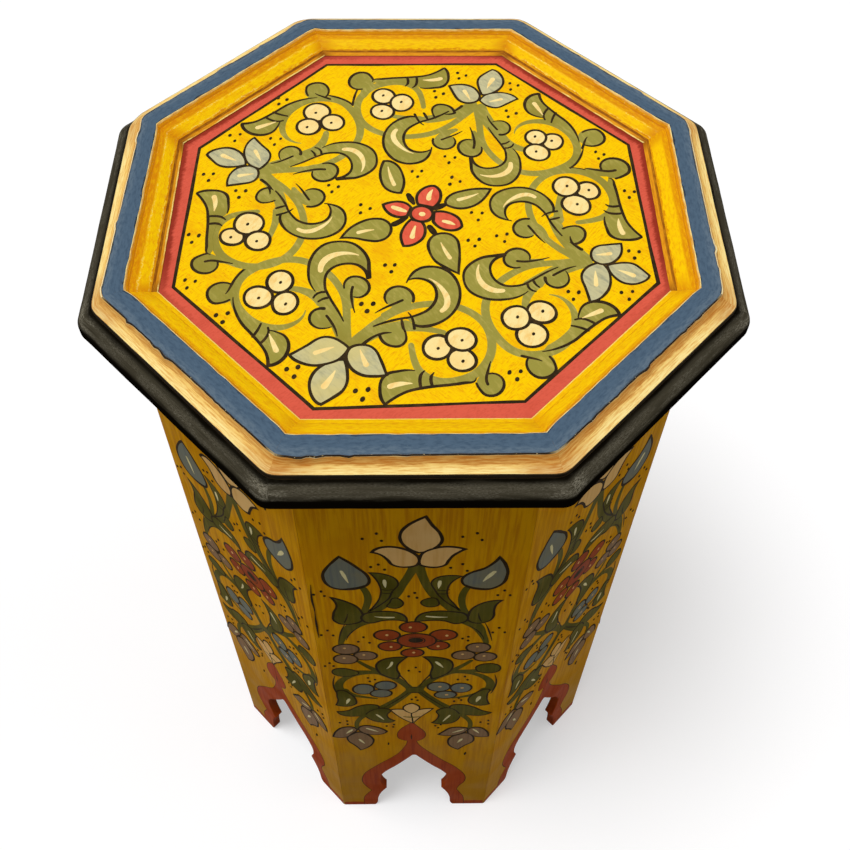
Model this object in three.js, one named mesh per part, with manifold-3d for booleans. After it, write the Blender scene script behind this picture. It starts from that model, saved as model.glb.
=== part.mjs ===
// A moroccan kursi stool: an eight-sided painted wooden stool. Eight mitred side boards stand on
// feet left by sawn arches. A round-edged top board rests on them, with a frame of eight mitred
// mouldings round its painted panel. Glue blocks and screws inside hold the top to the sides.
// Millimetres, +Z up. The origin is on the floor under the centre, and the front faces -Y.
import * as THREE from 'three';
import { mergeVertices } from 'three/addons/utils/BufferGeometryUtils.js';
import Module from 'manifold-3d';

const wasm = await Module();
wasm.setup();

// Shape of the whole
const sideCount = 8;
const jointGap = 0.3; // glue line between any two pieces

// Side boards
const bodyAcross = 241; // across the flats of the body
const sideHeight = 480.5;
const sideWall = 6;

// Arch sawn out of the foot of each side board
const archHeight = 116.5;
const archWidth = 45.6; // at its widest, above the cusps
const archWidestHeight = 65;
const cuspHeight = 41.5;
const cuspGap = 38.4; // clear width between the two cusps
const cuspTipWidth = 1.6; // rounding of a cusp, measured up the board
const footGap = 54.8; // clear width between the feet on the floor
const footCornerHeight = 8; // height over which a foot's inner corner is eased
const footCornerEase = 1.9;
const apexWidth = 3; // rounding at the tip of the arch

// Top board
const topOverhang = 18.8; // from a side board's face to the edge above it
const topThickness = 11.3;
const topEdgeRound = 6; // round-over of the upper edge
const topUnderRound = 1.6; // round-over of the lower edge
const topCornerRadius = 8; // of each corner in plan

// Frame mouldings, listed from the outer edge inwards
const frameLedge = 0.8; // flat left between the frame and the round-over
const frameHeight = 7.6;
const coveLip = 0.3; // flat lip below the cove
const coveWidth = 5.7;
const coveDrop = 4.3; // how far the cove falls
const coveStep = 0.6; // small upright step above the cove
const coveStepWidth = 0.2;
const flatWidth = 9;
const quirkWidth = 1.5; // steep step inside the flat
const quirkDrop = 2.4;
const slopeWidth = 8.4; // broad slope towards the panel
const slopeDrop = 2.6;
const slopeCrown = 0.5; // how far the slope swells
const lipWidth = 1; // last small step at the panel
const lipDrop = 1;

// Glue blocks
const blockHeight = 40;
const blockArm = 18; // glued face along each side board
const blockDepth = 21; // from the corner towards the middle

// Screws through the blocks
const screwInset = 12.5; // from the corner of the block
const screwBite = 7.2; // how deep it goes into the top board
const shankRadius = 1.9;
const headRadius = 4;
const headHeight = 2.4;
const screwTip = 3.5;

// Counts of facets
const roundSteps = 5;
const cornerSteps = 4;
const curveSteps = 6;
const turnedSteps = 12;

// Derived places
const stepAngle = (2 * Math.PI) / sideCount;
const mitre = Math.tan(stepAngle / 2); // half a side's width for each unit of apothem
const cornerReach = 1 / Math.cos(stepAngle / 2); // corner radius for each unit of apothem
const firstSideAngle = -Math.PI / 2;
const bodyApothem = bodyAcross / 2;
const innerApothem = bodyApothem - sideWall;
const topUnderside = sideHeight + jointGap;
const panelLevel = topUnderside + topThickness;
const frameUnderside = panelLevel + jointGap;
const topApothem = bodyApothem + topOverhang;
const frameApothem = topApothem - topEdgeRound - frameLedge;
const blockCorner = (innerApothem - jointGap) * cornerReach;
const screwRadialPlace = blockCorner - screwInset;
const blockUnderside = sideHeight - blockHeight;
const screwTop = topUnderside + screwBite;
const overrun = 4 * jointGap; // how far a cut runs past a face

const sidePaint = { color: 0xb07a10, roughness: 0.55, metalness: 0 };
const topPaint = { color: 0xf2c010, roughness: 0.45, metalness: 0 };
const framePaint = { color: 0x4e6785, roughness: 0.45, metalness: 0 };
const rawWood = { color: 0xb08a5a, roughness: 0.85, metalness: 0 };
const zincSteel = { color: 0xa8a8a2, roughness: 0.35, metalness: 0.9 };

const stool = new THREE.Group();

function addPiece(name, geometry, finish, turn = 0) {
  const mesh = new THREE.Mesh(geometry, new THREE.MeshStandardMaterial(finish));
  mesh.name = name;
  mesh.rotation.z = turn;
  stool.add(mesh);
}

// Joining and cutting need a closed mesh whose shared corners are one vertex
function solidOf(geometry) {
  const bare = geometry.clone();
  bare.deleteAttribute('normal');
  bare.deleteAttribute('uv');
  const merged = mergeVertices(bare);
  return new wasm.Manifold(new wasm.Mesh({
    numProp: 3,
    vertProperties: new Float32Array(merged.attributes.position.array),
    triVerts: new Uint32Array(merged.index.array),
  }));
}

function geometryOf(solid) {
  const { vertProperties, triVerts } = solid.getMesh();
  const geometry = new THREE.BufferGeometry();
  geometry.setAttribute('position', new THREE.BufferAttribute(vertProperties, 3));
  geometry.setIndex(new THREE.BufferAttribute(triVerts, 1));
  geometry.computeVertexNormals();
  return geometry;
}

// A length of section, mitred at both ends to meet its neighbours, facing -Y. The section's x is
// the distance from the stool's axis, and its y is the height.
function mitredLength(section) {
  const unit = new THREE.ExtrudeGeometry(section, {
    depth: 1, bevelEnabled: false, curveSegments: curveSteps,
  });
  const places = unit.attributes.position;
  const endGap = (jointGap / 2) * cornerReach;
  for (let i = 0; i < places.count; i += 1) {
    const apothem = places.getX(i);
    const height = places.getY(i);
    const side = 1 - 2 * places.getZ(i);
    places.setXYZ(i, side * (apothem * mitre - endGap), -apothem, height);
  }
  return unit;
}

function rectangle(x0, y0, x1, y1) {
  const shape = new THREE.Shape();
  shape.moveTo(x0, y0);
  shape.lineTo(x1, y0);
  shape.lineTo(x1, y1);
  shape.lineTo(x0, y1);
  shape.closePath();
  return shape;
}

// Outline of the arch: from the floor up over a foot's eased corner to the cusp, round the swell
// above it and up the ogee to the tip, then down the other side in the same steps.
function archOutline() {
  const half = [
    { to: [footGap / 2 - footCornerEase, footCornerHeight],
      by: [footGap / 2 - footCornerEase, footCornerHeight / 2] },
    { to: [cuspGap / 2, cuspHeight - cuspTipWidth / 2],
      by: [footGap / 2 - footCornerEase, (footCornerHeight + cuspHeight) / 2] },
    { to: [cuspGap / 2, cuspHeight + cuspTipWidth / 2],
      by: [cuspGap / 2 - cuspTipWidth / 2, cuspHeight] },
    { to: [archWidth / 2, archWidestHeight],
      by: [archWidth / 2, (cuspHeight + archWidestHeight) / 2] },
  ];
  const ogeeShoulderShare = { across: 0.98, up: 0.22 };
  const ogeeMiddleShare = { across: 0.55, up: 0.52 };
  const ogeeFlankShare = { across: 0.25, up: 0.78 };
  const rise = archHeight - archWidestHeight;
  const on = (share) => [share.across * archWidth / 2, archWidestHeight + share.up * rise];
  half.push({ to: on(ogeeMiddleShare), by: on(ogeeShoulderShare) });
  half.push({ to: [apexWidth / 2, archHeight - apexWidth / 2], by: on(ogeeFlankShare) });
  half.push({ to: [0, archHeight], by: [apexWidth / 4, archHeight] });

  const start = [footGap / 2, -overrun];
  const shape = new THREE.Shape();
  shape.moveTo(...start);
  shape.lineTo(footGap / 2, 0);
  for (const { to, by } of half) shape.quadraticCurveTo(...by, ...to);
  for (let i = half.length - 1; i >= 0; i -= 1) {
    const [x, y] = i > 0 ? half[i - 1].to : [footGap / 2, 0];
    const [byX, byY] = half[i].by;
    shape.quadraticCurveTo(-byX, byY, -x, y);
  }
  shape.lineTo(-start[0], start[1]);
  shape.closePath();
  return shape;
}

function sideBoard() {
  const board = solidOf(mitredLength(rectangle(innerApothem, 0, bodyApothem, sideHeight)));
  const saw = new THREE.ExtrudeGeometry(archOutline(), {
    depth: sideWall + 2 * overrun, bevelEnabled: false, curveSegments: curveSteps,
  });
  saw.rotateX(Math.PI / 2);
  saw.translate(0, overrun - innerApothem, 0);
  return geometryOf(board.subtract(solidOf(saw)));
}

// Section of the frame moulding. The cove falls outwards, the flat is the highest part, and the
// quirk, the slope and the lip step down to the panel.
function frameSection() {
  const top = frameUnderside + frameHeight;
  const coveTop = top - coveStep;
  const coveFoot = coveTop - coveDrop;
  const coveOuter = frameApothem - coveLip;
  const coveInner = coveOuter - coveWidth;
  const flatOuter = coveInner - coveStepWidth;
  const flatInner = flatOuter - flatWidth;
  const slopeOuter = flatInner - quirkWidth;
  const slopeInner = slopeOuter - slopeWidth;
  const slopeTop = top - quirkDrop;
  const slopeFoot = slopeTop - slopeDrop;
  const inner = slopeInner - lipWidth;
  const quirkHollowShare = 0.7;
  const coveHollowShare = 0.82;

  const shape = new THREE.Shape();
  shape.moveTo(inner, frameUnderside);
  shape.lineTo(frameApothem, frameUnderside);
  shape.lineTo(frameApothem, coveFoot);
  shape.lineTo(coveOuter, coveFoot);
  shape.quadraticCurveTo(
    coveInner + coveWidth * (1 - coveHollowShare), coveFoot + coveDrop * (1 - coveHollowShare),
    coveInner, coveTop,
  );
  shape.lineTo(flatOuter, top);
  shape.lineTo(flatInner, top);
  shape.quadraticCurveTo(
    flatInner - quirkWidth * (1 - quirkHollowShare), top - quirkDrop * quirkHollowShare,
    slopeOuter, slopeTop,
  );
  shape.quadraticCurveTo(
    (slopeOuter + slopeInner) / 2, (slopeTop + slopeFoot) / 2 + 2 * slopeCrown,
    slopeInner, slopeFoot,
  );
  shape.lineTo(inner, slopeFoot - lipDrop);
  shape.closePath();
  return shape;
}

// One ring of the top board: the octagon drawn in by an inset, with its corners rounded in plan
function boardRing(inset) {
  const apothem = topApothem - inset;
  const radius = topCornerRadius - inset;
  const ring = [];
  for (let side = 0; side < sideCount; side += 1) {
    const corner = firstSideAngle + (side + 0.5) * stepAngle;
    const centre = (apothem - radius) * cornerReach;
    for (let step = 0; step <= cornerSteps; step += 1) {
      const angle = corner + (step / cornerSteps - 0.5) * stepAngle;
      ring.push([
        centre * Math.cos(corner) + radius * Math.cos(angle),
        centre * Math.sin(corner) + radius * Math.sin(angle),
      ]);
    }
  }
  return ring;
}

// The board's upright profile as insets and heights, from its underside to its upper face
function boardProfile() {
  const profile = [];
  for (let i = 0; i <= roundSteps; i += 1) {
    const angle = (i / roundSteps) * (Math.PI / 2);
    profile.push([topUnderRound * (1 - Math.sin(angle)), topUnderRound * (1 - Math.cos(angle))]);
  }
  for (let i = 0; i <= roundSteps; i += 1) {
    const angle = (i / roundSteps) * (Math.PI / 2);
    profile.push([
      topEdgeRound * (1 - Math.cos(angle)),
      topThickness - topEdgeRound * (1 - Math.sin(angle)),
    ]);
  }
  return profile;
}

function topBoardBlank() {
  const profile = boardProfile();
  const places = [];
  const faces = [];
  for (const [inset, height] of profile) {
    for (const [x, y] of boardRing(inset)) places.push(x, y, topUnderside + height);
  }
  const count = sideCount * (cornerSteps + 1);
  for (let level = 0; level < profile.length - 1; level += 1) {
    for (let i = 0; i < count; i += 1) {
      const a = level * count + i;
      const b = level * count + ((i + 1) % count);
      faces.push(a, b, b + count, a, b + count, a + count);
    }
  }
  const last = (profile.length - 1) * count;
  for (let i = 1; i < count - 1; i += 1) {
    faces.push(0, i + 1, i);
    faces.push(last, last + i, last + i + 1);
  }
  const blank = new THREE.BufferGeometry();
  blank.setAttribute('position', new THREE.Float32BufferAttribute(places, 3));
  blank.setIndex(faces);
  return blank;
}

// A turned shape on the upright line through a corner's screw
function turnedAtScrew(profile, cornerAngle) {
  const points = profile.map(([radius, height]) => new THREE.Vector2(radius, height));
  const turned = new THREE.LatheGeometry(points, turnedSteps);
  turned.rotateX(Math.PI / 2);
  turned.translate(
    screwRadialPlace * Math.cos(cornerAngle), screwRadialPlace * Math.sin(cornerAngle), 0,
  );
  return turned;
}

function screwProfile() {
  return [
    [0, blockUnderside],
    [headRadius, blockUnderside],
    [shankRadius, blockUnderside + headHeight],
    [shankRadius, screwTop - screwTip],
    [0, screwTop],
  ];
}

// The hole that a screw fills, with the joint gap all round it
function screwHoleProfile() {
  const tip = screwTop + jointGap;
  return [
    [0, blockUnderside - overrun],
    [headRadius + jointGap, blockUnderside - overrun],
    [headRadius + jointGap, blockUnderside],
    [shankRadius + jointGap, blockUnderside + headHeight + jointGap],
    [shankRadius + jointGap, tip],
    [0, tip],
  ];
}

function topBoard() {
  let board = solidOf(topBoardBlank());
  for (let i = 0; i < sideCount; i += 1) {
    const corner = firstSideAngle + (i + 0.5) * stepAngle;
    board = board.subtract(solidOf(turnedAtScrew(screwHoleProfile(), corner)));
  }
  return geometryOf(board);
}

// A glue block fills the corner between two side boards. It is drawn for the corner on +X.
function glueBlock() {
  const armIn = blockArm * Math.sin(stepAngle / 2);
  const armAcross = blockArm * Math.cos(stepAngle / 2);
  const shape = new THREE.Shape();
  shape.moveTo(blockCorner, 0);
  shape.lineTo(blockCorner - armIn, armAcross);
  shape.lineTo(blockCorner - blockDepth, armAcross);
  shape.lineTo(blockCorner - blockDepth, -armAcross);
  shape.lineTo(blockCorner - armIn, -armAcross);
  shape.closePath();
  const block = new THREE.ExtrudeGeometry(shape, { depth: blockHeight, bevelEnabled: false });
  block.translate(0, 0, blockUnderside);
  return geometryOf(solidOf(block).subtract(solidOf(turnedAtScrew(screwHoleProfile(), 0))));
}

addPiece('top_board', topBoard(), topPaint);
for (let i = 0; i < sideCount; i += 1) {
  const turn = i * stepAngle;
  const cornerTurn = firstSideAngle + (i + 0.5) * stepAngle;
  addPiece(`frame_moulding_${i + 1}`, mitredLength(frameSection()), framePaint, turn);
  addPiece(`side_board_${i + 1}`, sideBoard(), sidePaint, turn);
  addPiece(`glue_block_${i + 1}`, glueBlock(), rawWood, cornerTurn);
  addPiece(`block_screw_${i + 1}`, turnedAtScrew(screwProfile(), 0), zincSteel, cornerTurn);
}

export default stool;
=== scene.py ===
"""The painted look of the eight-sided kursi stool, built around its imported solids.
Lengths are written in millimetres and turned into metres where a mesh is made."""

import math

import bmesh
import bpy
from mathutils import Matrix, Vector
from mathutils.noise import noise


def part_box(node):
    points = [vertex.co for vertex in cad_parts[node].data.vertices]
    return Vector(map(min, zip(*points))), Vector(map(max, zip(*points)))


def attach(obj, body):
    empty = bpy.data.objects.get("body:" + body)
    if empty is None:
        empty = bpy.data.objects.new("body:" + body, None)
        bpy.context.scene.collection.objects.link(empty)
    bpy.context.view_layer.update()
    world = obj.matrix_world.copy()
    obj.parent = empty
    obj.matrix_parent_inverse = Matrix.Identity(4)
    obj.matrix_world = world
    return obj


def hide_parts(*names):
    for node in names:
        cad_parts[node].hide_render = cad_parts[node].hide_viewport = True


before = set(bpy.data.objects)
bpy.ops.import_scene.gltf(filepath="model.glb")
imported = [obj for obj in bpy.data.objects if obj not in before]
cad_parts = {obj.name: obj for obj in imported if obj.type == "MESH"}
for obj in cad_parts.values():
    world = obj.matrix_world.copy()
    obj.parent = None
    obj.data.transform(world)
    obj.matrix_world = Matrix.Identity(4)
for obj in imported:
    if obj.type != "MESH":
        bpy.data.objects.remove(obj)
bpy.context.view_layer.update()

MM = 0.001
SIDES = 8
TURN = 2 * math.pi / SIDES
MITRE = math.tan(TURN / 2)
REACH = 1 / math.cos(TURN / 2)

# Sizes that the solids give
side_low, side_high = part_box("side_board_1")
top_low, top_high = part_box("top_board")
frame_low, frame_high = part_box("frame_moulding_1")
BODY = -side_low.y / MM
WALL = (side_high.y - side_low.y) / MM
SIDE_TOP = side_high.z / MM
BOARD_UNDER = top_low.z / MM
PANEL = top_high.z / MM
RIM = top_high.x / MM
FRAME_OUT = -frame_low.y / MM
FRAME_IN = -frame_high.y / MM
FRAME_TOP = frame_high.z / MM
FRAME_UNDER = frame_low.z / MM


def srgb(*colour):
    """A colour written as it looks, on 0 to 255, as linear light."""
    return tuple(c / 255 / 12.92 if c < 11 else ((c / 255 + 0.055) / 1.055) ** 2.4 for c in colour) + (1.0,)


# ---------- materials
class Wire:
    """A node's output. Signs between wires and numbers make the nodes that work them out."""

    def __init__(self, tree, socket):
        self.tree, self.socket = tree, socket

    def __add__(self, other):
        return self.tree.math("ADD", self, other)

    def __sub__(self, other):
        return self.tree.math("SUBTRACT", self, other)

    def __rsub__(self, other):
        return self.tree.math("SUBTRACT", other, self)

    def __mul__(self, other):
        return self.tree.math("MULTIPLY", self, other)

    def __truediv__(self, other):
        return self.tree.math("DIVIDE", self, other)

    def __abs__(self):
        return self.tree.math("ABSOLUTE", self)

    def most(self, other):
        return self.tree.math("MAXIMUM", self, other)

    def span(self, low, high, to_low=0.0, to_high=1.0):
        """A smooth step from to_low to to_high, as this wire goes from low to high."""
        return self.tree.wire("ShaderNodeMapRange", {"Value": self, "From Min": low, "From Max": high,
                                                     "To Min": to_low, "To Max": to_high},
                              interpolation_type="SMOOTHSTEP")


class Tree:
    """A node tree and short ways to add nodes to it. A colour is written on 0 to 255."""

    def __init__(self, node_tree):
        self.nodes, self.links = node_tree.nodes, node_tree.links

    def put(self, socket, value):
        if isinstance(value, Wire):
            self.links.new(value.socket, socket)
        elif socket.type == "RGBA" and isinstance(value, tuple):
            socket.default_value = srgb(*value)
        else:
            socket.default_value = value

    def node(self, kind, inputs=(), **settings):
        made = self.nodes.new(kind)
        for name, value in settings.items():
            setattr(made, name, value)
        for name, value in dict(inputs).items():
            self.put(made.inputs[name], value)
        return made

    def wire(self, kind, inputs=(), output=0, **settings):
        return Wire(self, self.node(kind, inputs, **settings).outputs[output])

    def math(self, kind, a, b=0.0):
        return self.wire("ShaderNodeMath", {0: a, 1: b}, operation=kind)

    def mix(self, amount, a, b):
        return self.wire("ShaderNodeMix", {0: amount, 6: a, 7: b}, 2, data_type="RGBA")

    def source(self, name):
        """Where a point is, or one of its attributes."""
        if name == "object":
            return self.wire("ShaderNodeTexCoord", output="Object")
        return self.wire("ShaderNodeAttribute", output="Vector", attribute_name=name)

    def parts(self, name):
        split = self.node("ShaderNodeSeparateXYZ", {"Vector": self.source(name)})
        return [Wire(self, part) for part in split.outputs]

    def noise(self, scale, shift=(0, 0, 0), source="object", turn=0.0, detail=4.0, roughness=0.55,
              distortion=0.0):
        """Noise with about scale grains to the metre, or so many along x, y and z."""
        scale = scale if isinstance(scale, tuple) else (scale,) * 3
        where = self.wire("ShaderNodeMapping", {"Vector": self.source(source),
                                                "Scale": [1 / s for s in scale], "Location": shift,
                                                "Rotation": (0, 0, turn)}, vector_type="TEXTURE")
        return self.wire("ShaderNodeTexNoise", {"Vector": where, "Scale": 1.0, "Detail": detail,
                                                "Roughness": roughness, "Distortion": distortion})


class Finish(Tree):
    """The node tree of a new material."""

    def __init__(self, name, shine):
        self.material = bpy.data.materials.new(name)
        self.material.use_nodes = True
        super().__init__(self.material.node_tree)
        self.shader = self.nodes["Principled BSDF"]
        self.shader.inputs["Specular IOR Level"].default_value = shine

    def done(self, colour, roughness, height, depth):
        bump = self.wire("ShaderNodeBump", {"Height": height, "Distance": depth * MM, "Strength": 0.6})
        for socket, value in (("Base Color", colour), ("Roughness", roughness), ("Normal", bump)):
            self.put(self.shader.inputs[socket], value)
        return self.material


def brushed(name, base, streak, pool, scale, turn=0.0, streaks=(0.42, 0.72), most=0.8, shine=0.03, depth=0.05,
            foot=None):
    """Hand-brushed paint: streaks along the brush, slow pools of a third tone, and fine flecks.
    It may turn to a fourth tone towards the feet."""
    t = Finish(name, shine)
    fine = t.noise(scale, turn=turn, detail=5.0, roughness=0.6)
    slow = t.noise(38, (3.1, 1.7, 0.4), detail=3.0)
    speck = t.noise(900, (0.3, 5.2, 2.6), detail=2.0)
    colour = t.mix(fine.span(*streaks, 0.0, most), base, streak)
    colour = t.mix(slow.span(0.45, 0.72, 0.0, 0.7), colour, pool)
    colour = t.mix(speck.span(0.66, 0.74, 0.0, 0.35), colour, pool)
    if foot:
        up = t.parts("object")[2] + (slow - 0.5) * (120 * MM)
        colour = t.mix(up.span(190 * MM, 30 * MM, 0.0, 0.75), colour, foot)
    return t.done(colour, slow.span(0.3, 0.7, 0.45, 0.62), fine + speck * 0.25, depth)


def crosshatched(name, base, streak, fleck):
    """The panel's thick yellow: two crossing sets of short brush marks, with orange flecks in them."""
    t = Finish(name, 0.05)
    one = t.noise((330, 1900, 300), turn=0.85)
    other = t.noise((330, 1900, 300), (4, 1, 2), turn=-0.7)
    patch = t.noise(60, (2, 5, 1), roughness=0.7)
    fine = t.noise(1500, (0.5, 2, 7), detail=2.0)
    marks = t.mix(patch.span(0.42, 0.58), one, other)
    colour = t.mix(marks.span(0.46, 0.66, 0.0, 0.8), base, streak)
    colour = t.mix(patch.span(0.48, 0.72, 0.0, 0.6), colour, streak)
    colour = t.mix(fine.span(0.58, 0.7, 0.0, 0.6) * marks.span(0.5, 0.62), colour, fleck)
    return t.done(colour, patch.span(0.3, 0.7, 0.4, 0.6), one + other, 0.09)


RUBBED_YELLOW = (255, 224, 118)
BEAD_HIGHLIGHT_YELLOW = (255, 232, 140)
NO_BEAD_HIGHLIGHT = 0.9      # lengths worn just so much have no painted highlight at the bead


def worn_band(name, base, streak, dirt, upper, lower, corner, pale=None, pale_to=0.75, most=0.75,
              grain=(48, 1700, 1700), ruled=0.0, wavy=0.5, bead=None, patchy=0.1):
    """Paint on a moulding. Glaze is left in a band at the outer edge, a band at the inner edge and
    near the mitres; upper and lower are shares of the width, and corner is in millimetres. wavy is
    how much those bands wander, and ruled how broad a light line along their ends is. Outside
    pale_to the paint is paler; on the cove and the quirk that is partly a painted highlight along an
    edge. At the bead there is a light line, a painted highlight, most broken where patchy is low.
    The wear attribute holds the share across, the distance from the mitre and how worn that length is."""
    t = Finish(name, 0.04)
    fine = t.noise(grain, source="grain", detail=6.0, roughness=0.65)
    slow = t.noise((60, 160, 160), (2.2, 0.7, 4.1), "grain", detail=3.0)
    speck = t.noise(1300, (0.2, 3.7, 1.1), "grain", detail=2.0)
    share, from_mitre, worn = t.parts("wear")
    ragged = (slow - 0.5) * wavy + (fine - 0.5) * 0.4
    across = share + ragged
    glaze = (from_mitre + ragged * 0.04).span(corner * MM, 0.0)
    lines = []
    for width, inwards in ((upper, across), (lower, 1.0 - across)):
        if width:
            inwards = inwards / worn
            glaze = glaze.most(inwards.span(width, width * 0.7))
            if ruled:
                lines.append(abs(inwards - width).span(ruled, ruled * 0.3))
    glaze = glaze * fine.span(0.3, 0.6, 0.55, 1.0) * worn
    colour = t.mix(fine.span(0.4, 0.7, 0.0, most), base, streak)
    if pale:
        colour = t.mix(across.span(pale_to, pale_to * 0.1) * fine.span(0.62, 0.38, 0.3, 1.0), colour, pale)
        colour = t.mix(speck.span(0.66, 0.74, 0.0, 0.6), colour, pale)
    colour = t.mix(glaze * 0.9, colour, dirt)
    for line in lines:
        rubbed = worn.span(0.9, 1.0) * speck.span(0.44, 0.6, 0.05, 0.75) * slow.span(0.42, 0.56, 0.15, 1.0)
        colour = t.mix(line * rubbed, colour, RUBBED_YELLOW)
    # A painted highlight: a light line along the bead, broken in patches
    if bead:
        line = abs(across - bead).span(0.12, 0.04) * abs(worn - NO_BEAD_HIGHLIGHT).span(0.02, 0.06)
        line = line * slow.span(0.4, 0.54, patchy, 1.0) * speck.span(0.3, 0.5, 0.3, 0.9)
        colour = t.mix(line, colour, BEAD_HIGHLIGHT_YELLOW)
    return t.done(colour, slow.span(0.3, 0.7, 0.42, 0.6), fine, 0.07)


def red_band(base, streak, shade):
    """The red band, darker beside the moulding's lip at the sides and the back: a painted shadow of the lip,
    mixed with dirt.
    """
    t = Finish("red_border", 0.03)
    fine = t.noise((600, 1500, 300), turn=0.6, detail=5.0)
    slow = t.noise(90)
    x, y, _ = t.parts("object")
    x, ahead = abs(x), abs(y)
    slant = (x + ahead) * math.sqrt(0.5)
    out = x.most(ahead).most(slant) + (t.mix(0.5, slow, fine) - 0.5) * (5 * MM)
    # Darker red beside the lip: a painted shadow cast by the lip, with some dirt
    lip_shadow_and_grime = out.span((FRAME_IN - 3.2) * MM, (FRAME_IN - 1.2) * MM)
    lip_shadow_and_grime = lip_shadow_and_grime * (y.span(-70 * MM, -20 * MM) * x.span(20 * MM, 60 * MM, 0.3, 1.0))
    colour = t.mix(fine.span(0.42, 0.72, 0.0, 0.7), base, streak)
    colour = t.mix(slow.span(0.5, 0.75, 0.0, 0.6), colour, streak)
    colour = t.mix(lip_shadow_and_grime * 0.8, colour, shade)
    return t.done(colour, slow.span(0.3, 0.7, 0.45, 0.62), fine, 0.05)


def black_edge():
    """Black paint on the round edge, with a grey band over the crown that is partly painted sheen where the
    edge faces the light and partly rubbed paint, and rubbed grey in streaks along the crown and at the
    corners.
    """
    t = Finish("black_edge", 0.0)
    fine = t.noise((60, 1500, 1500), source="grain", detail=6.0, roughness=0.7)
    patch = t.noise((55, 90, 90), (5.1, 2.2, 0.7), "grain", detail=3.0)
    speck = t.noise((800, 1900, 1900), (1.1, 0.2, 3.7), "grain", detail=3.0, roughness=0.7)
    share, from_corner, _ = t.parts("wear")
    level = share + (patch - 0.5) * 0.22
    crown = level.span(0.4, 0.6) * level.span(1.02, 0.8)
    rubbed = crown * from_corner.span(9 * MM, 0.0, 0.3, 1.0) * speck.span(0.46, 0.6) * patch.span(0.35, 0.6)
    # Grey over the crown: painted sheen where the round edge faces the light, mixed with rubbed paint
    crown_sheen_and_wear = crown * fine.span(0.25, 0.7, 0.45, 1.0)
    colour = t.mix(crown_sheen_and_wear, (14, 11, 6), (70, 65, 52))
    colour = t.mix(rubbed * 0.85, colour, (160, 154, 136))
    return t.done(colour, fine.span(0.3, 0.7, 0.4, 0.62), fine + speck, 0.07)


def raw_wood(name, light, dark, scale):
    t = Finish(name, 0.2)
    rings = t.noise(scale, detail=6.0, roughness=0.65, distortion=0.6)
    slow = t.noise((25, 25, 9), (1, 2, 3), detail=2.0)
    colour = t.mix(rings.span(0.35, 0.7), light, dark)
    colour = t.mix(slow.span(0.4, 0.75, 0.0, 0.5), colour, dark)
    return t.done(colour, rings.span(0.3, 0.7, 0.7, 0.9), rings, 0.12)


def zinc_steel():
    t = Finish("zinc_steel", 0.5)
    t.shader.inputs["Metallic"].default_value = 1.0
    grain = t.noise(900, detail=3.0)
    colour = t.mix(grain.span(0.35, 0.7), (205, 203, 196), (150, 146, 134))
    return t.done(colour, grain.span(0.3, 0.7, 0.28, 0.5), grain, 0.02)


GRAIN_UP = (620, 620, 24)       # streaks up a side board
WOOD_UP = (420, 420, 16)
SLOPE_GRAIN = (300, 1000, 1000)
QUIRK_GRAIN = (200, 1200, 1200)
paints = {"top_yellow": crosshatched("yellow_panel", (254, 207, 0), (240, 168, 6), (204, 112, 18)),
          "top_border": red_band((221, 95, 74), (203, 82, 62), (128, 34, 18)),
          "top_line": brushed("dark_line", (44, 34, 20), (78, 58, 32), (56, 44, 26), 300),
          "top_olive": brushed("olive_leaf", (157, 148, 66), (184, 170, 88), (146, 133, 52),
                               (620, 190, 300), 0.6, streaks=(0.46, 0.7)),
          "top_cream": brushed("cream_touch", (255, 231, 158), (248, 204, 118), (252, 218, 140),
                               (500, 200, 300), -0.5, most=0.9),
          "top_leaf": brushed("grey_leaf", (200, 194, 150), (160, 160, 132), (218, 200, 124),
                              (620, 200, 300), 0.8, most=0.9),
          "top_red": brushed("red_petal", (230, 98, 72), (208, 70, 50), (240, 122, 96), (420, 160, 300),
                             0.2),
          # The side boards' paints, here and below, are darker copies of the top's: partly an older, more
          # ochre tone, and partly painted shade for sides that get less light than the top
          "side_ground": brushed("shaded_ochre_side", (208, 149, 3), (176, 111, 6), (194, 131, 6), GRAIN_UP,
                                 streaks=(0.38, 0.66), shine=0.005, depth=0.07, foot=(166, 116, 4))}
# Each side paint is darker than the same paint on the top: its own tone, plus painted shade
for colour, name, base, streak, pool in (
        ("border", "shaded_red_brown", (160, 66, 22), (130, 46, 14), (146, 56, 18)),
        ("line", "side_ink", (34, 24, 8), (60, 42, 16), (44, 32, 12)),
        ("green", "side_green", (80, 74, 14), (104, 92, 24), (66, 60, 10)),
        ("cream", "side_cream", (220, 176, 108), (204, 154, 80), (228, 188, 122)),
        ("touch", "side_touch", (226, 214, 160), (196, 178, 120), (206, 196, 150)),
        ("slate", "side_slate", (112, 114, 100), (92, 98, 96), (126, 118, 88)),
        ("berry", "side_berry", (134, 104, 74), (112, 86, 60), (146, 114, 78)),
        ("red", "side_red", (146, 62, 22), (126, 48, 16), (160, 76, 34))):
    paints[f"side_{colour}"] = brushed(name, base, streak, pool, GRAIN_UP, shine=0.005)

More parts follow.
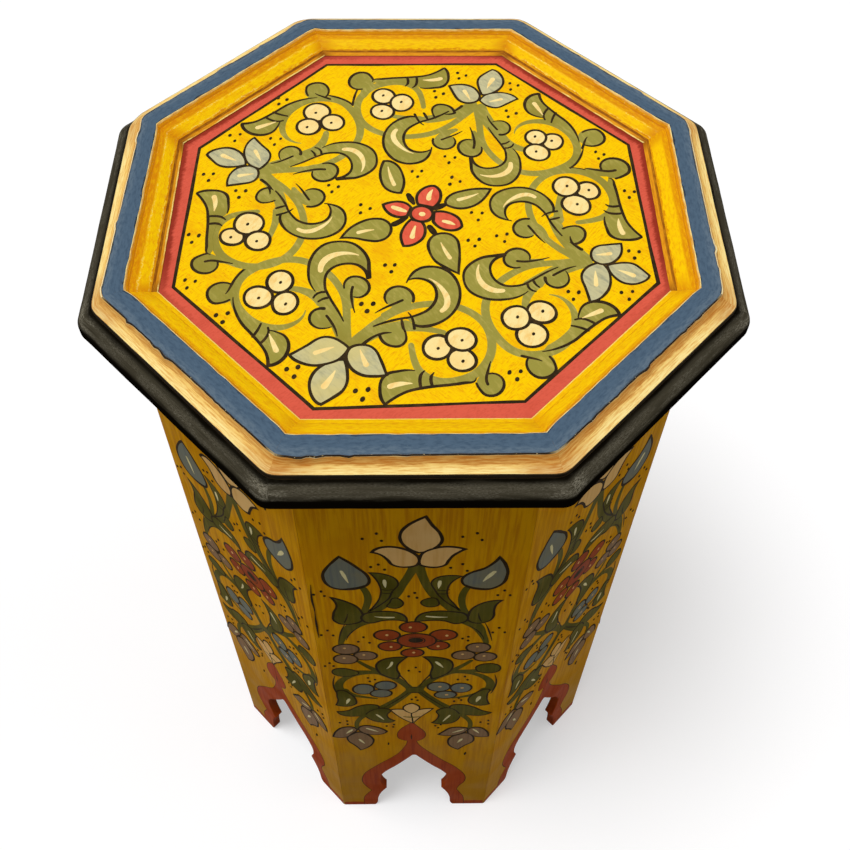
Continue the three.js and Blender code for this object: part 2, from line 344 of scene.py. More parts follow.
# The bands across a moulding, from its foot outside to its lip inside
BANDS = {"foot": worn_band("black_foot", (24, 19, 12), (40, 32, 22), (80, 62, 38), 0.2, 0.2, 0.0),
         # The cove's paler cream towards its outer lower edge is partly a painted highlight along that edge
         "cove": worn_band("cream_cove", (250, 210, 118), (216, 148, 60), (184, 106, 28), 0.0, 0.68, 22,
                           (255, 234, 158), 0.6, most=0.9, grain=(130, 1500, 1500)),
         "step": worn_band("step_line", (50, 38, 26), (26, 24, 22), (246, 222, 164), 0.0, 0.0, 6,
                           (246, 222, 164), 0.16),
         "blue": worn_band("slate_blue", (80, 101, 121), (60, 79, 99), (44, 48, 52), 0.05, 0.04, 0.0,
                           (98, 115, 130), 0.5, grain=(300, 900, 900)),
         # The quirk's pale line along the blue's inner arris is a painted highlight
         "quirk": worn_band("pale_quirk", (232, 160, 14), (212, 136, 10), (204, 124, 12), 0.0, 0.3, 0.0,
                            (255, 236, 160), 0.5, grain=QUIRK_GRAIN, wavy=0.1),
         "slope": worn_band("yellow_slope", (254, 206, 4), (236, 164, 10), (216, 134, 8), 0.36, 0.13, 9,
                            most=0.8, grain=SLOPE_GRAIN, ruled=0.05, wavy=0.2),
         # The light line at the lip's bead is a painted highlight
         "lip": worn_band("brown_lip", (232, 158, 28), (190, 110, 18), (122, 62, 12), 0.5, 0.0, 8,
                          grain=QUIRK_GRAIN, wavy=0.2, bead=0.86)}
chipped_step = worn_band("chipped_line", (255, 240, 186), (244, 214, 140), (200, 140, 60), 0.0, 0.3, 0.0)
# The light line at this lip's bead is a painted highlight too
light_lip = worn_band("yellow_lip", (254, 206, 4), (236, 164, 10), (216, 134, 8), 0.1, 0.0, 6,
                      most=0.8, grain=SLOPE_GRAIN, wavy=0.1, bead=0.88, patchy=0.8)
edge_paint = black_edge()
bare_wood = raw_wood("bare_wood", (196, 158, 108), (150, 108, 66), WOOD_UP)
stained_wood = raw_wood("stained_wood", (150, 108, 66), (108, 72, 40), WOOD_UP)
block_wood = raw_wood("block_wood", (202, 168, 120), (158, 118, 74), (90, 90, 420))
screw_steel = zinc_steel()


# ---------- meshes
def linked(name, data):
    made = bpy.data.objects.new(name, data)
    bpy.context.scene.collection.objects.link(made)
    return made


def piece(name, points, faces, materials, which=None, grain=None, wear=None, sharp=35, replaces=()):
    """Makes one object of the stool from points in millimetres. which picks the material of each
    face; grain is a place for the brush marks, and wear how worn a point is."""
    mesh = bpy.data.meshes.new(name)
    mesh.from_pydata([Vector(p) * MM for p in points], [], faces)
    for material in materials:
        mesh.materials.append(material)
    if which:
        mesh.polygons.foreach_set("material_index", which)
    for label, rows, scale in (("grain", grain, MM), ("wear", wear, 1)):
        if rows:
            layer = mesh.attributes.new(label, "FLOAT_VECTOR", "POINT")
            layer.data.foreach_set("vector", [c * scale for row in rows for c in row])
    mesh.shade_smooth()
    mesh.set_sharp_from_angle(angle=math.radians(sharp))
    made = linked(name, mesh)
    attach(made, "root")
    if replaces:
        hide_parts(*replaces)


def drift(x, y, seed, size):
    """Slow wander of a hand-made line, between about -1 and 1."""
    return noise(Vector((x / size, y / size, 7.3 * seed + 0.37)))


# ---------- outlines through given points
def smooth(points, closed=False):
    """A smooth line through points. A point with a third value is a sharp corner."""
    spots = [Vector(p[:2]) for p in points]
    sharp = [len(p) > 2 for p in points]
    n = len(spots)

    def along(i):
        if sharp[i] or (not closed and i in (0, n - 1)):
            return None
        back = (spots[i] - spots[i - 1]).normalized()
        ahead = (spots[(i + 1) % n] - spots[i]).normalized()
        return (back + ahead).normalized()

    line = []
    for i in range(n if closed else n - 1):
        a, b = spots[i], spots[(i + 1) % n]
        chord = b - a
        reach = chord.length
        chord = chord.normalized()
        start, end = along(i), along((i + 1) % n)
        if start is None and end is None:
            start = end = chord
        elif start is None:
            start = 2 * chord.dot(end) * chord - end
        elif end is None:
            end = 2 * chord.dot(start) * chord - start
        steps = max(2, min(9, round(reach / 1.3)))
        for k in range(steps):
            s = k / steps
            line.append((2 * s ** 3 - 3 * s ** 2 + 1) * a + (s ** 3 - 2 * s ** 2 + s) * reach * start
                        + (3 * s ** 2 - 2 * s ** 3) * b + (s ** 3 - s ** 2) * reach * end)
    if not closed:
        line.append(spots[-1])
    return line


def turned_left(ring):
    area = sum(a.x * b.y - b.x * a.y for a, b in zip(ring, ring[1:] + ring[:1]))
    return ring if area > 0 else ring[::-1]


def grown(ring, by, seed=0.0):
    """The closed outline pushed outwards, by an amount that varies a little as a brush does."""
    ring = turned_left(ring)
    out = []
    for i, spot in enumerate(ring):
        back = (spot - ring[i - 1]).normalized()
        ahead = (ring[(i + 1) % len(ring)] - spot).normalized()
        lean = Vector((back.y + ahead.y, -back.x - ahead.x))
        if lean.length < 1e-6:
            lean = Vector((back.y, -back.x))
        lean.normalize()
        stretch = 1 / max(0.55, lean.dot(Vector((back.y, -back.x))))
        out.append(spot + lean * by * stretch * (1 + 0.35 * drift(spot.x, spot.y, seed, 6)))
    return out


def stroke(points, widths):
    """A brush stroke: a closed outline round a smooth line, with widths spread evenly along it."""
    line = smooth(points)
    gone = [0.0]
    for a, b in zip(line, line[1:]):
        gone.append(gone[-1] + (b - a).length)
    left, right = [], []
    for i, spot in enumerate(line):
        place = gone[i] / gone[-1] * (len(widths) - 1)
        k = min(int(place), len(widths) - 2)
        half = (widths[k] + (widths[k + 1] - widths[k]) * (place - k)) / 2
        ahead = (line[min(i + 1, len(line) - 1)] - line[max(i - 1, 0)]).normalized()
        aside = Vector((-ahead.y, ahead.x)) * half
        left.append(spot + aside)
        right.append(spot - aside)

    def cap(spot, out, half):
        side = Vector((-out.y, out.x)) * half
        return [spot + side * 0.7 + out * half * 0.7, spot + out * half, spot - side * 0.7 + out * half * 0.7]

    first, last = (line[0] - line[1]).normalized(), (line[-1] - line[-2]).normalized()
    return left + cap(line[-1], last, widths[-1] / 2) + right[::-1] + cap(line[0], first, widths[0] / 2)


def disc(x, y, across, up=None, seed=0.0):
    up = across if up is None else up
    count = max(10, min(26, round(across * 5)))
    ring = []
    for i in range(count):
        angle = 2 * math.pi * i / count
        swell = 1 + 0.05 * drift(math.cos(angle) + x, math.sin(angle) + y, seed, 1.3)
        ring.append(Vector((x + across * swell * math.cos(angle), y + up * swell * math.sin(angle))))
    return ring


class Coats:
    """Slabs of paint, kept as one mesh for each colour."""

    def __init__(self, name, slot):
        self.name, self.slot, self.meshes = name, slot, {}

    def slab(self, colour, top, under):
        points, faces = self.meshes.setdefault(colour, ([], []))
        at, n = len(points), len(top)
        points.extend(top + under)
        faces.append(tuple(range(at, at + n)))
        faces.append(tuple(range(at + 2 * n - 1, at + n - 1, -1)))
        for i in range(n):
            j = (i + 1) % n
            faces.append((at + n + i, at + n + j, at + j, at + i))

    def hoop(self, colour, outer, inner, outer_low, inner_low):
        points, faces = self.meshes.setdefault(colour, ([], []))
        at, n = len(points), len(outer)
        points.extend(outer + inner + outer_low + inner_low)
        for i in range(n):
            j = (i + 1) % n
            a, b, c, d = at, at + n, at + 2 * n, at + 3 * n
            faces += [(a + i, a + j, b + j, b + i), (c + j, c + i, d + i, d + j),
                      (c + i, c + j, a + j, a + i), (b + i, b + j, d + j, d + i)]

    def finish(self):
        for colour, (points, faces) in self.meshes.items():
            piece(f"{self.name}_{colour.split('_')[1]}", points, faces, [paints[colour]], sharp=20)


SUNK = 0.05      # how far a coat reaches into the wood
FIRST = 0.03     # how high the first stroke lies
RISE = 0.0014    # how much higher each later stroke lies
APART = 0.0004   # how much the first strokes of neighbouring ornaments differ


class Ground:
    """A flat that is painted on. Each stroke lies a little above the one before it."""

    def __init__(self, coats, prefix, frame_on, seed, leaning=False, sway=0.3, ink=1.0):
        self.coats, self.prefix, self.seed = coats, prefix, seed
        self.leaning, self.sway, self.ink = leaning, sway, ink
        self.place, self.lift = frame_on
        self.height = FIRST + APART * (seed % 4)
        self.hold()

    def hold(self, x=0.0, y=0.0, right=0.0, down=0.0, size=1.0, turn=0.0):
        """What is painted next is sized and turned about (x, y), and then shifted."""
        c, s = size * math.cos(math.radians(turn)), size * math.sin(math.radians(turn))
        self.held = (Vector((x, y)), Vector((x + right, y + down)), c, s)

    def lay(self, colour, ring):
        about, to, c, s = self.held
        spots = []
        for p in ring:
            q = Vector(p) - about
            q = Vector((to.x + c * q.x + s * q.y, to.y + c * q.y - s * q.x))
            sway = Vector((drift(q.x, q.y, self.seed, 17), drift(q.x, q.y, self.seed + 40, 17)))
            spots.append(Vector(self.place(*(q + self.sway * sway))))
        spots = turned_left(spots)
        self.height += RISE
        self.coats.slab(f"{self.prefix}_{colour}", [self.lift(p, self.height) for p in spots],
                        [self.lift(p, -SUNK) for p in spots])

    def lined(self, colour, ring, line):
        """An outline filled with a colour, with a dark line along it."""
        self.lay("line", grown(ring, line * self.ink, self.seed))
        self.lay(colour, grown(ring, -line * self.ink, self.seed + 9))

    def shape(self, colour, points, line=0.58):
        self.lined(colour, smooth(points, True), line)

    def drawn(self, colour, *edges):
        """A shape filled first, and then lined along its edges with a brush of changing width."""
        self.lay(colour, [spot for points, _ in edges for spot in smooth(points)])
        for points, widths in edges:
            if max(widths):
                self.stroke("line", points, *widths)

    def ball(self, colour, x, y, across, up=None, line=0.55):
        self.lined(colour, disc(x, y, across, up, self.seed), line)

    def stroke(self, colour, points, *widths):
        heavier = self.ink if colour == "line" else 1.0
        self.lay(colour, stroke(points, [width * heavier for width in widths]))

    def touch(self, colour, start, end, width, bend=0.0):
        """A highlight: thick where the brush lands, thin where it lifts."""
        a, b = Vector(start), Vector(end)
        middle = (a + b) / 2 + Vector((a.y - b.y, b.x - a.x)) * bend
        self.stroke(colour, [a, middle, b], width * 0.75, width, width * 0.7, 0.35)

    def dot(self, x, y, size):
        """A dab of the dark brush, longer the way the painter held it."""
        longer = 1.3 + 0.3 * drift(x, y, 5, 3)
        across, up = (size * longer, size) if self.leaning else (size, size * longer)
        self.lay("line", disc(x, y, across * 0.8, up * 0.8, self.seed))

    def dots(self, x, y, turn, size=0.95):
        """Three dots round a point."""
        for k in range(3):
            angle = math.radians(turn + 120 * k + 14 * drift(x, y + k, 6, 2))
            away = 2.6 + 0.7 * drift(x + k, y, 8, 2)
            self.dot(x + away * math.cos(angle), y + away * math.sin(angle),
                     size * (1 + 0.2 * drift(x, y + k, 7, 2)))


# ---------- the panel's ornament: four nearly alike quarters round a flower
def on_top(origin, turn, size):
    """A quarter's own frame, with v from the middle outwards, on the panel."""
    c, s = math.cos(turn + math.pi / 2), math.sin(turn + math.pi / 2)

    def lift(p, height):
        return (p.x, p.y, PANEL + height)

    def place(u, v):
        u, v = size * u, -size * v
        return (origin[0] + c * u - s * v, origin[1] + s * u + c * v)

    return place, lift


def knob(g, x, y, size, rim, widths, stem):
    """A round bud end: dark along part of its rim, with a line that may start inside it."""
    g.lay("olive", disc(x, y, size, size, g.seed))
    g.stroke("line", rim, *widths)
    if stem:
        g.stroke("line", stem, 1.1, 1.1, 0.9, 0.4)


def quarter(g, own, berries, corner):
    """The quarter nearest the viewer. In the others each part is shifted, sized and turned."""
    def part(name, x, y):
        g.hold(x, y, *own.get(name, ()))

    # vines that curl into a ring round the berries
    part("left ring", -38, 62)
    g.stroke("olive", [(0, 76), (-2.6, 70.5), (-5.2, 64.5), (-8, 58.5), (-11.5, 53.2), (-16, 49),
                       (-22, 45.2), (-29, 43), (-35.5, 42.6), (-43, 45), (-50, 50.8), (-55.2, 60),
                       (-54.4, 68.5), (-50, 75), (-43.5, 79), (-36, 80.2), (-30, 78.6), (-25.4, 75.3),
                       (-22.8, 70.5), (-23, 66)], 5.0, 3.4, 3.2, 3.2, 3.4, 3.4, 3.6, 3.7, 3.7, 4.0, 4.2,
             3.8, 2.4, 0.4)
    if corner:
        g.stroke("line", [(-67, 56), (-61, 55.4), (-55.2, 54)], 0.8, 1.1, 1.0)
        g.stroke("line", [(-55.4, 54), (-57, 58), (-57.6, 63), (-57.2, 69.5)], 1.0, 1.1, 1.1, 0.4)
    part("right ring", 40, 60)
    g.stroke("olive", [(1.5, 76), (3.6, 68.5), (6.4, 61), (9.8, 54.8), (13.6, 50), (18.5, 46), (25, 42.6),
                       (33, 40.8), (41, 41.6), (48.5, 45.5), (53.4, 52.5), (54.9, 60), (53, 68.5),
                       (48, 74.6), (42, 77.8), (36, 78), (31, 75.8), (27.6, 72), (25.4, 68.6),
                       (23.8, 65.8)], 5.0, 3.4, 3.2, 3.2, 3.2, 3.2, 3.4, 3.6, 3.6, 3.8, 4.0, 3.6, 3.0, 2.4)
    # arms and stems of the crescents
    part("left arm", -21, 57)
    g.stroke("olive", [(-18.5, 59.5), (-25, 57.2), (-33.5, 58)], 5.4, 3.9, 2.6)
    part("right arm", 20, 57)
    g.stroke("olive", [(18.5, 58), (25.5, 56.2), (33.5, 55)], 4.8, 3.0, 2.4)
    part("left stem", -21, 56)
    g.stroke("olive", [(-20.8, 56.8), (-16.6, 60.2), (-10.6, 64.8), (-4.5, 70.5), (-1, 76)], 5.4, 5.8, 6.2,
             6.4, 5.0)
    part("right stem", 18, 56)
    g.stroke("olive", [(18, 57.4), (12.4, 61.4), (7.8, 66), (3.6, 72), (1.5, 76)], 5.2, 5.4, 5.4, 6.0, 5.0)
    g.stroke("line", [(13, 63), (10, 65.6), (7.6, 69), (6, 72.8)], 0.4, 1.0, 1.1, 1.5)
    # round bud ends
    part("knob a", -8.8, 46.8)
    g.stroke("olive", [(-11, 47), (-10, 51), (-6.5, 57)], 4.6, 4.4, 2.4)
    knob(g, -8.8, 46.8, 5.3, [(-13.2, 49.4), (-14.3, 46), (-13, 42.8), (-9.5, 41.4), (-6, 42.3), (-3.6, 45.2),
                              (-3.3, 48.3), (-5, 51.2), (-7.6, 52.1)], (0.7, 1.1, 1.1, 1.2, 1.2, 1.1, 0.6),
         [(-10.2, 47.4), (-9.4, 50.5), (-7.6, 54), (-3.8, 59.4)])
    part("knob b", 9.6, 45.4)
    g.stroke("olive", [(13, 46), (12, 50), (7.5, 56)], 4.6, 4.6, 2.4)
    knob(g, 9.7, 45.2, 5.7,
         [(6.5, 50), (4.3, 47.6), (3.8, 44.5), (5.2, 41.4), (8.2, 39.6), (12, 39.9), (14.8, 42), (16, 45)],
         (0.5, 1.1, 1.2, 1.1, 1.2, 1.3, 1.1),
         [(11.6, 46), (9.5, 48.6), (6.6, 52.2), (4, 56.4)])
    part("knob c", -14.6, 67)
    knob(g, -14.6, 67.2, 5.2,
         [(-16.4, 62.2), (-19.3, 64), (-20.2, 67.3), (-18.6, 70.8), (-14.8, 72.4), (-11, 71), (-9.6, 69.6)],
         (1.5, 1.1, 1.2, 1.0, 0.8, 0.4),
         [(-13.8, 65.2), (-10.5, 67.6), (-7.6, 70.2), (-5.4, 73)])
    part("knob d", 15.8, 64.6)
    knob(g, 15.6, 64.6, 5.0, [(17.2, 59), (19.8, 61.8), (21, 65), (19.6, 68.2), (15.8, 69.4), (12.6, 68.6),
                              (10.2, 66.2)], (1.0, 0.8, 1.1, 1.2, 1.1, 1.3, 1.2),
         [(9.8, 66.2), (11.2, 64.6), (13, 63.6), (13.9, 63.2)])
    part("knob e", -59.5, 71)
    knob(g, -59.2, 71.2, 5.8, [(-57.8, 65.5), (-61, 65.9), (-64, 68.2), (-65.2, 71.8), (-63.6, 75.4),
                               (-60, 77.3), (-57, 76), (-54.4, 73.2)], (0.8, 1.0, 1.1, 1.2, 1.3, 1.0, 0.9),
         [(-57.6, 63), (-57.4, 66), (-57.2, 69), (-57.4, 71)])
    part("knob f", 59.6, 71.5)
    g.stroke("olive", [(55.4, 63), (56, 68), (58, 71)], 3.0, 4.0, 5.0)
    knob(g, 59.6, 71.6, 5.3, [(57.4, 67.2), (60, 66.2), (63.4, 67.6), (65, 71.5), (63.6, 75.6), (60, 77.2),
                              (56.8, 75.6), (54.6, 73.4)], (0.8, 0.9, 1.2, 1.2, 1.1, 0.9),
         g.seed != 2 and [(58.8, 72.2), (57.4, 70), (56.6, 66), (56, 61.2)])
    # crescents
    part("left crescent", -21, 56)
    g.drawn("olive",
            ([(-23.8, 55.4), (-28, 52), (-31.2, 46.5), (-32.9, 40.5), (-32.6, 34.5), (-30.6, 30),
              (-26.5, 26.8), (-20.5, 25.4), (-14.5, 27.5), (-10, 31.5), (-8, 35.5), (-5.8, 40)],
             (0.4, 1.0, 1.2, 1.2, 1.2, 1.0, 1.2, 1.3, 1.5, 1.6)),
            ([(-6.3, 40.4), (-8.8, 37.4), (-13.2, 35.7), (-18, 36.9), (-22, 40.5), (-23.4, 45),
              (-22.2, 49.6), (-19.8, 53.5)], (1.7, 1.4, 1.1, 1.1, 1.2, 1.1, 1.1)))
    g.stroke("line", [(-20, 53.2), (-15.8, 56.9), (-10.5, 61.2), (-6.3, 65.2)], 1.1, 1.0, 1.0, 0.5)
    g.stroke("line", [(-19.9, 54.2), (-22.4, 56), (-23, 58.8)], 1.1, 1.0, 0.8)
    g.stroke("line", [(-17.6, 56.6), (-19.2, 58), (-20.2, 59.8)], 1.2, 1.0, 0.8)
    g.stroke("cream", [(-26.5, 44.6), (-27.4, 40), (-25.6, 35.4), (-21, 31.8), (-15, 30.6)], 2.2, 3.0, 2.7,
             1.7, 0.5)
    part("right crescent", 18.5, 56)
    g.drawn("olive",
            ([(21.2, 56), (23.5, 55.8), (27, 54), (30.6, 50.3), (33, 45.5), (33.8, 40), (32.6, 34),
              (29.8, 29), (25.5, 25.2), (20.5, 23.8), (16.5, 24.4), (12.8, 26.4), (10.6, 29.5), (9.8, 33),
              (9.7, 36.8)],
             (1.1, 1.5, 1.1, 1.0, 1.2, 1.2, 1.1, 1.3, 1.2, 1.1, 1.3, 1.2, 0.5)),
            ([(10, 35), (12.3, 33.2), (16.3, 32.3), (20.2, 33.4), (23.2, 37), (24.4, 41.5), (23.4, 46.5),
              (20.4, 50.6), (16.6, 54)], (0.7, 1.1, 1.3, 1.2, 1.3, 1.2, 1.1, 1.0)))
    g.stroke("line", [(17, 53.6), (11.5, 57.6), (6.2, 63)], 1.0, 1.2, 0.7)
    g.stroke("line", [(16.2, 51), (18.6, 52.8), (20.2, 55), (21.8, 57.8)], 0.4, 1.0, 1.1, 1.2)
    g.stroke("line", [(15, 55.2), (16.2, 57.3), (17.6, 59.4)], 0.8, 1.3, 1.1)
    g.stroke("cream", [(17.5, 31), (21, 32), (25, 34.6), (28.5, 38.4), (29.6, 42), (28.8, 45)],
             0.3, 1.2, 2.0, 2.6, 2.5, 2.0)
    # end leaves of the rings
    part("left leaf", -38, 84)
    g.drawn("olive",
            ([(-53.6, 71.5), (-50, 77), (-44.5, 82), (-37.3, 85.8), (-32, 88.8), (-28, 91.8),
              (-24.8, 96.6)], (0.4, 1.1, 1.2, 1.2, 1.1, 1.4)),
            ([(-24.6, 96.6), (-22, 94.4), (-20.4, 90), (-21.6, 84.5), (-25, 81.2), (-30, 80.6),
              (-32.4, 81)], (1.5, 1.5, 1.5, 1.2, 0.9, 0.5)),
            ([(-33, 80), (-41, 78), (-50, 72.5)], (0, 0)))
    for band in ([(-36.9, 79.3), (-36.6, 83), (-36.9, 86.4)],
                 [(-33.4, 79.9), (-31.9, 82.4), (-31.8, 85.4), (-32.6, 88.4)]):
        g.stroke("line", band, 0.8, 1.1, 1.2)
    g.stroke("cream", [(-25, 88.9), (-27.5, 86.5), (-31.4, 82.6)], 2.3, 1.8, 0.4)
    part("right leaf", 37, 84)
    g.drawn("olive",
            ([(53.6, 71), (53.4, 73), (50.5, 74.8), (46, 77.6), (40.5, 80.6), (35.5, 83.6), (31, 87),
              (28, 90.8), (25.4, 95.6)], (0.4, 1.3, 1.2, 1.2, 1.3, 1.1, 1.1, 1.1)),
            ([(25, 95.8), (22.8, 94), (20.9, 90.8), (19.6, 86.5), (20.4, 82.8), (24, 79.8), (27.5, 77.7),
              (29.8, 77)], (1.1, 1.4, 1.2, 1.1, 1.4, 1.2, 1.0, 0.5)),
            ([(30, 77), (40, 77), (50, 71.5)], (0, 0)))
    for band in ([(33.5, 75.5), (32.9, 78), (33.8, 81.2), (35.4, 83.8)],
                 [(37.3, 75), (37, 77.2), (38, 79.6), (39.4, 81.3)]):
        g.stroke("line", band, 0.5, 1.3, 1.3, 1.1)
    g.stroke("cream", [(23.8, 87.6), (26.6, 85.2), (31.2, 83)], 2.4, 2.1, 0.4)
    # berries
    g.hold()
    for x, y, across, up in berries:
        g.ball("cream", x, y, across, up, 0.62)
        g.dot(x + 0.5, y + 0.4, 0.85)
    # three-petalled flower at the corner
    part("near petal", 0.8, 94)
    g.shape("leaf", [(2, 82.6, 1), (5, 86.8), (7.4, 92), (7.6, 96), (5.6, 100.4), (2.6, 105.2, 1), (0.4, 105),
                     (-3.6, 102), (-6.2, 97.4), (-6.4, 92.4), (-3.6, 86.6)], 0.6)
    g.stroke("cream", [(0.8, 89), (0.6, 93), (0, 97.2)], 0.5, 2.0, 2.8)
    part("left petal", -8.5, 82)
    g.shape("leaf", [(1.4, 76.8, 1), (-1.8, 75.4), (-6, 74.6), (-10, 75.6), (-12.6, 78.2), (-14.6, 82),
                     (-19, 88.9, 1), (-16, 90.3), (-12, 90.6), (-7, 89.4), (-2.6, 86.4), (0.2, 83),
                     (1.2, 80)], 0.55)
    g.stroke("cream", [(-10, 84.2), (-7.6, 81.8), (-4.3, 78.6)], 2.1, 1.8, 0.4)
    part("right petal", 11, 80)
    g.shape("leaf", [(2, 76.4, 1), (4.6, 73.8), (8.6, 72.8), (12, 74), (15.6, 77.6), (20.4, 83.2, 1),
                     (17, 85.4), (12, 86.8), (7, 86), (3.6, 83.4), (1.8, 80.4)], 0.6)
    g.stroke("cream", [(6, 76), (8.6, 79.2), (11, 81.8)], 0.4, 1.6, 2.4)
    g.hold()


def flower(g):
    """The middle flower, with a leaf between each two petals."""
    for drop, widths in (([(-4.8, -6.4), (-9, -10.4)], (1.4, 2.8, 2.1)),
                         ([(4.8, -7.2), (8.8, -11.4)], (2.6, 2.9, 1.6)),
                         ([(-4.4, 2.4), (-6, 5.4), (-8, 8.4)], (1.5, 2.5, 2.7)),
                         ([(6.8, 4), (11.6, 7.8)], (2.4, 2.8, 1.5))):
        g.stroke("line", drop, *widths)
    for leaf, light in (([(-27.6, -25.6, 1), (-24.6, -26.6), (-20, -25), (-16.2, -21), (-13.6, -16.4),
                          (-12.6, -10.2, 1), (-17, -9.2), (-20.6, -10.4), (-24, -14), (-26.6, -19)],
                         [(-17.3, -13.6), (-21, -18), (-24.4, -23)]),
                        ([(23.6, -27.6, 1), (18, -25.6), (12.6, -22), (9, -18), (7.6, -14), (8.4, -11.4),
                          (11.6, -10.6), (15.6, -11.4), (19.6, -14.4), (22.4, -19), (23.4, -24)],
                         [(12.8, -16), (16.4, -19.4), (19.4, -23)]),
                        ([(28, 23.8, 1), (22, 22.8), (16.5, 21.2), (12, 17), (9.8, 12.8), (10.2, 8.4),
                          (13, 5.4), (16.4, 4.6), (20.4, 6.2), (23.2, 10), (25.4, 15.4), (26.8, 20)],
                         [(21.6, 17.2), (18, 14), (14.8, 10.6)]),
                        ([(-26.2, 24.8, 1), (-25, 18.6), (-22, 13), (-18, 9.2), (-13.6, 7.8), (-9.6, 9.2),
                          (-7.6, 12.8), (-7.8, 17), (-10.6, 20.2), (-15, 21.6), (-20, 22.4)],
                         [(-20.4, 19), (-17.6, 16.6), (-14.8, 14.8)])):
        g.shape("olive", leaf, 0.55)
        g.stroke("cream", light, 1.9, 1.5, 0.4)
    for petal, light, widths in (([(-3, -6.8, 1), (-5.3, -11), (-5, -15), (-2.6, -18.8), (-0.2, -20, 1),
                                   (2.6, -18.6), (4.6, -15.5), (5.2, -11.5), (4, -7.4, 1)],
                                  [(-0.2, -17.3), (-0.4, -14), (0.2, -11.6)], (0.6, 2.0, 2.3)),
                                 ([(5.5, -5, 1), (9, -6.7), (13, -6.9), (17, -5.4), (19.8, -1.6, 1),
                                   (18.6, 0.8), (15, 2.8), (11, 2.8), (7, 0.4, 1)],
                                  [(11.2, -1.4), (13, -1.6), (16.4, -1.4)], (1.6, 2.1, 0.8)),
                                 ([(-2.2, 3, 1), (-3.3, 8), (-2.8, 13), (-0.8, 16.8), (0.8, 18.6, 1),
                                   (4, 16.6), (6.4, 12.8), (6.6, 9), (5, 5), (2.5, 2.6, 1)],
                                  [(1, 6), (1.4, 9), (2.2, 12.4)], (0.8, 1.6, 2.3)),
                                 ([(-5, -3.8, 1), (-8, -5.2), (-12, -4.6), (-15, -2.6), (-17, -0.4, 1),
                                   (-15, 2), (-11, 3.8), (-7, 3.4), (-4.6, 1.4, 1)],
                                  [(-12.4, -0.8), (-9, -0.8), (-6.4, -0.8)], (2.1, 2.5, 1.5))):
        g.shape("red", petal, 0.6)
        g.stroke("cream", light, *widths)
    g.ball("red", 0.7, -2, 4.9, 4.7, 0.65)
    g.lay("cream", disc(1, -1.9, 1.5, 1.35))


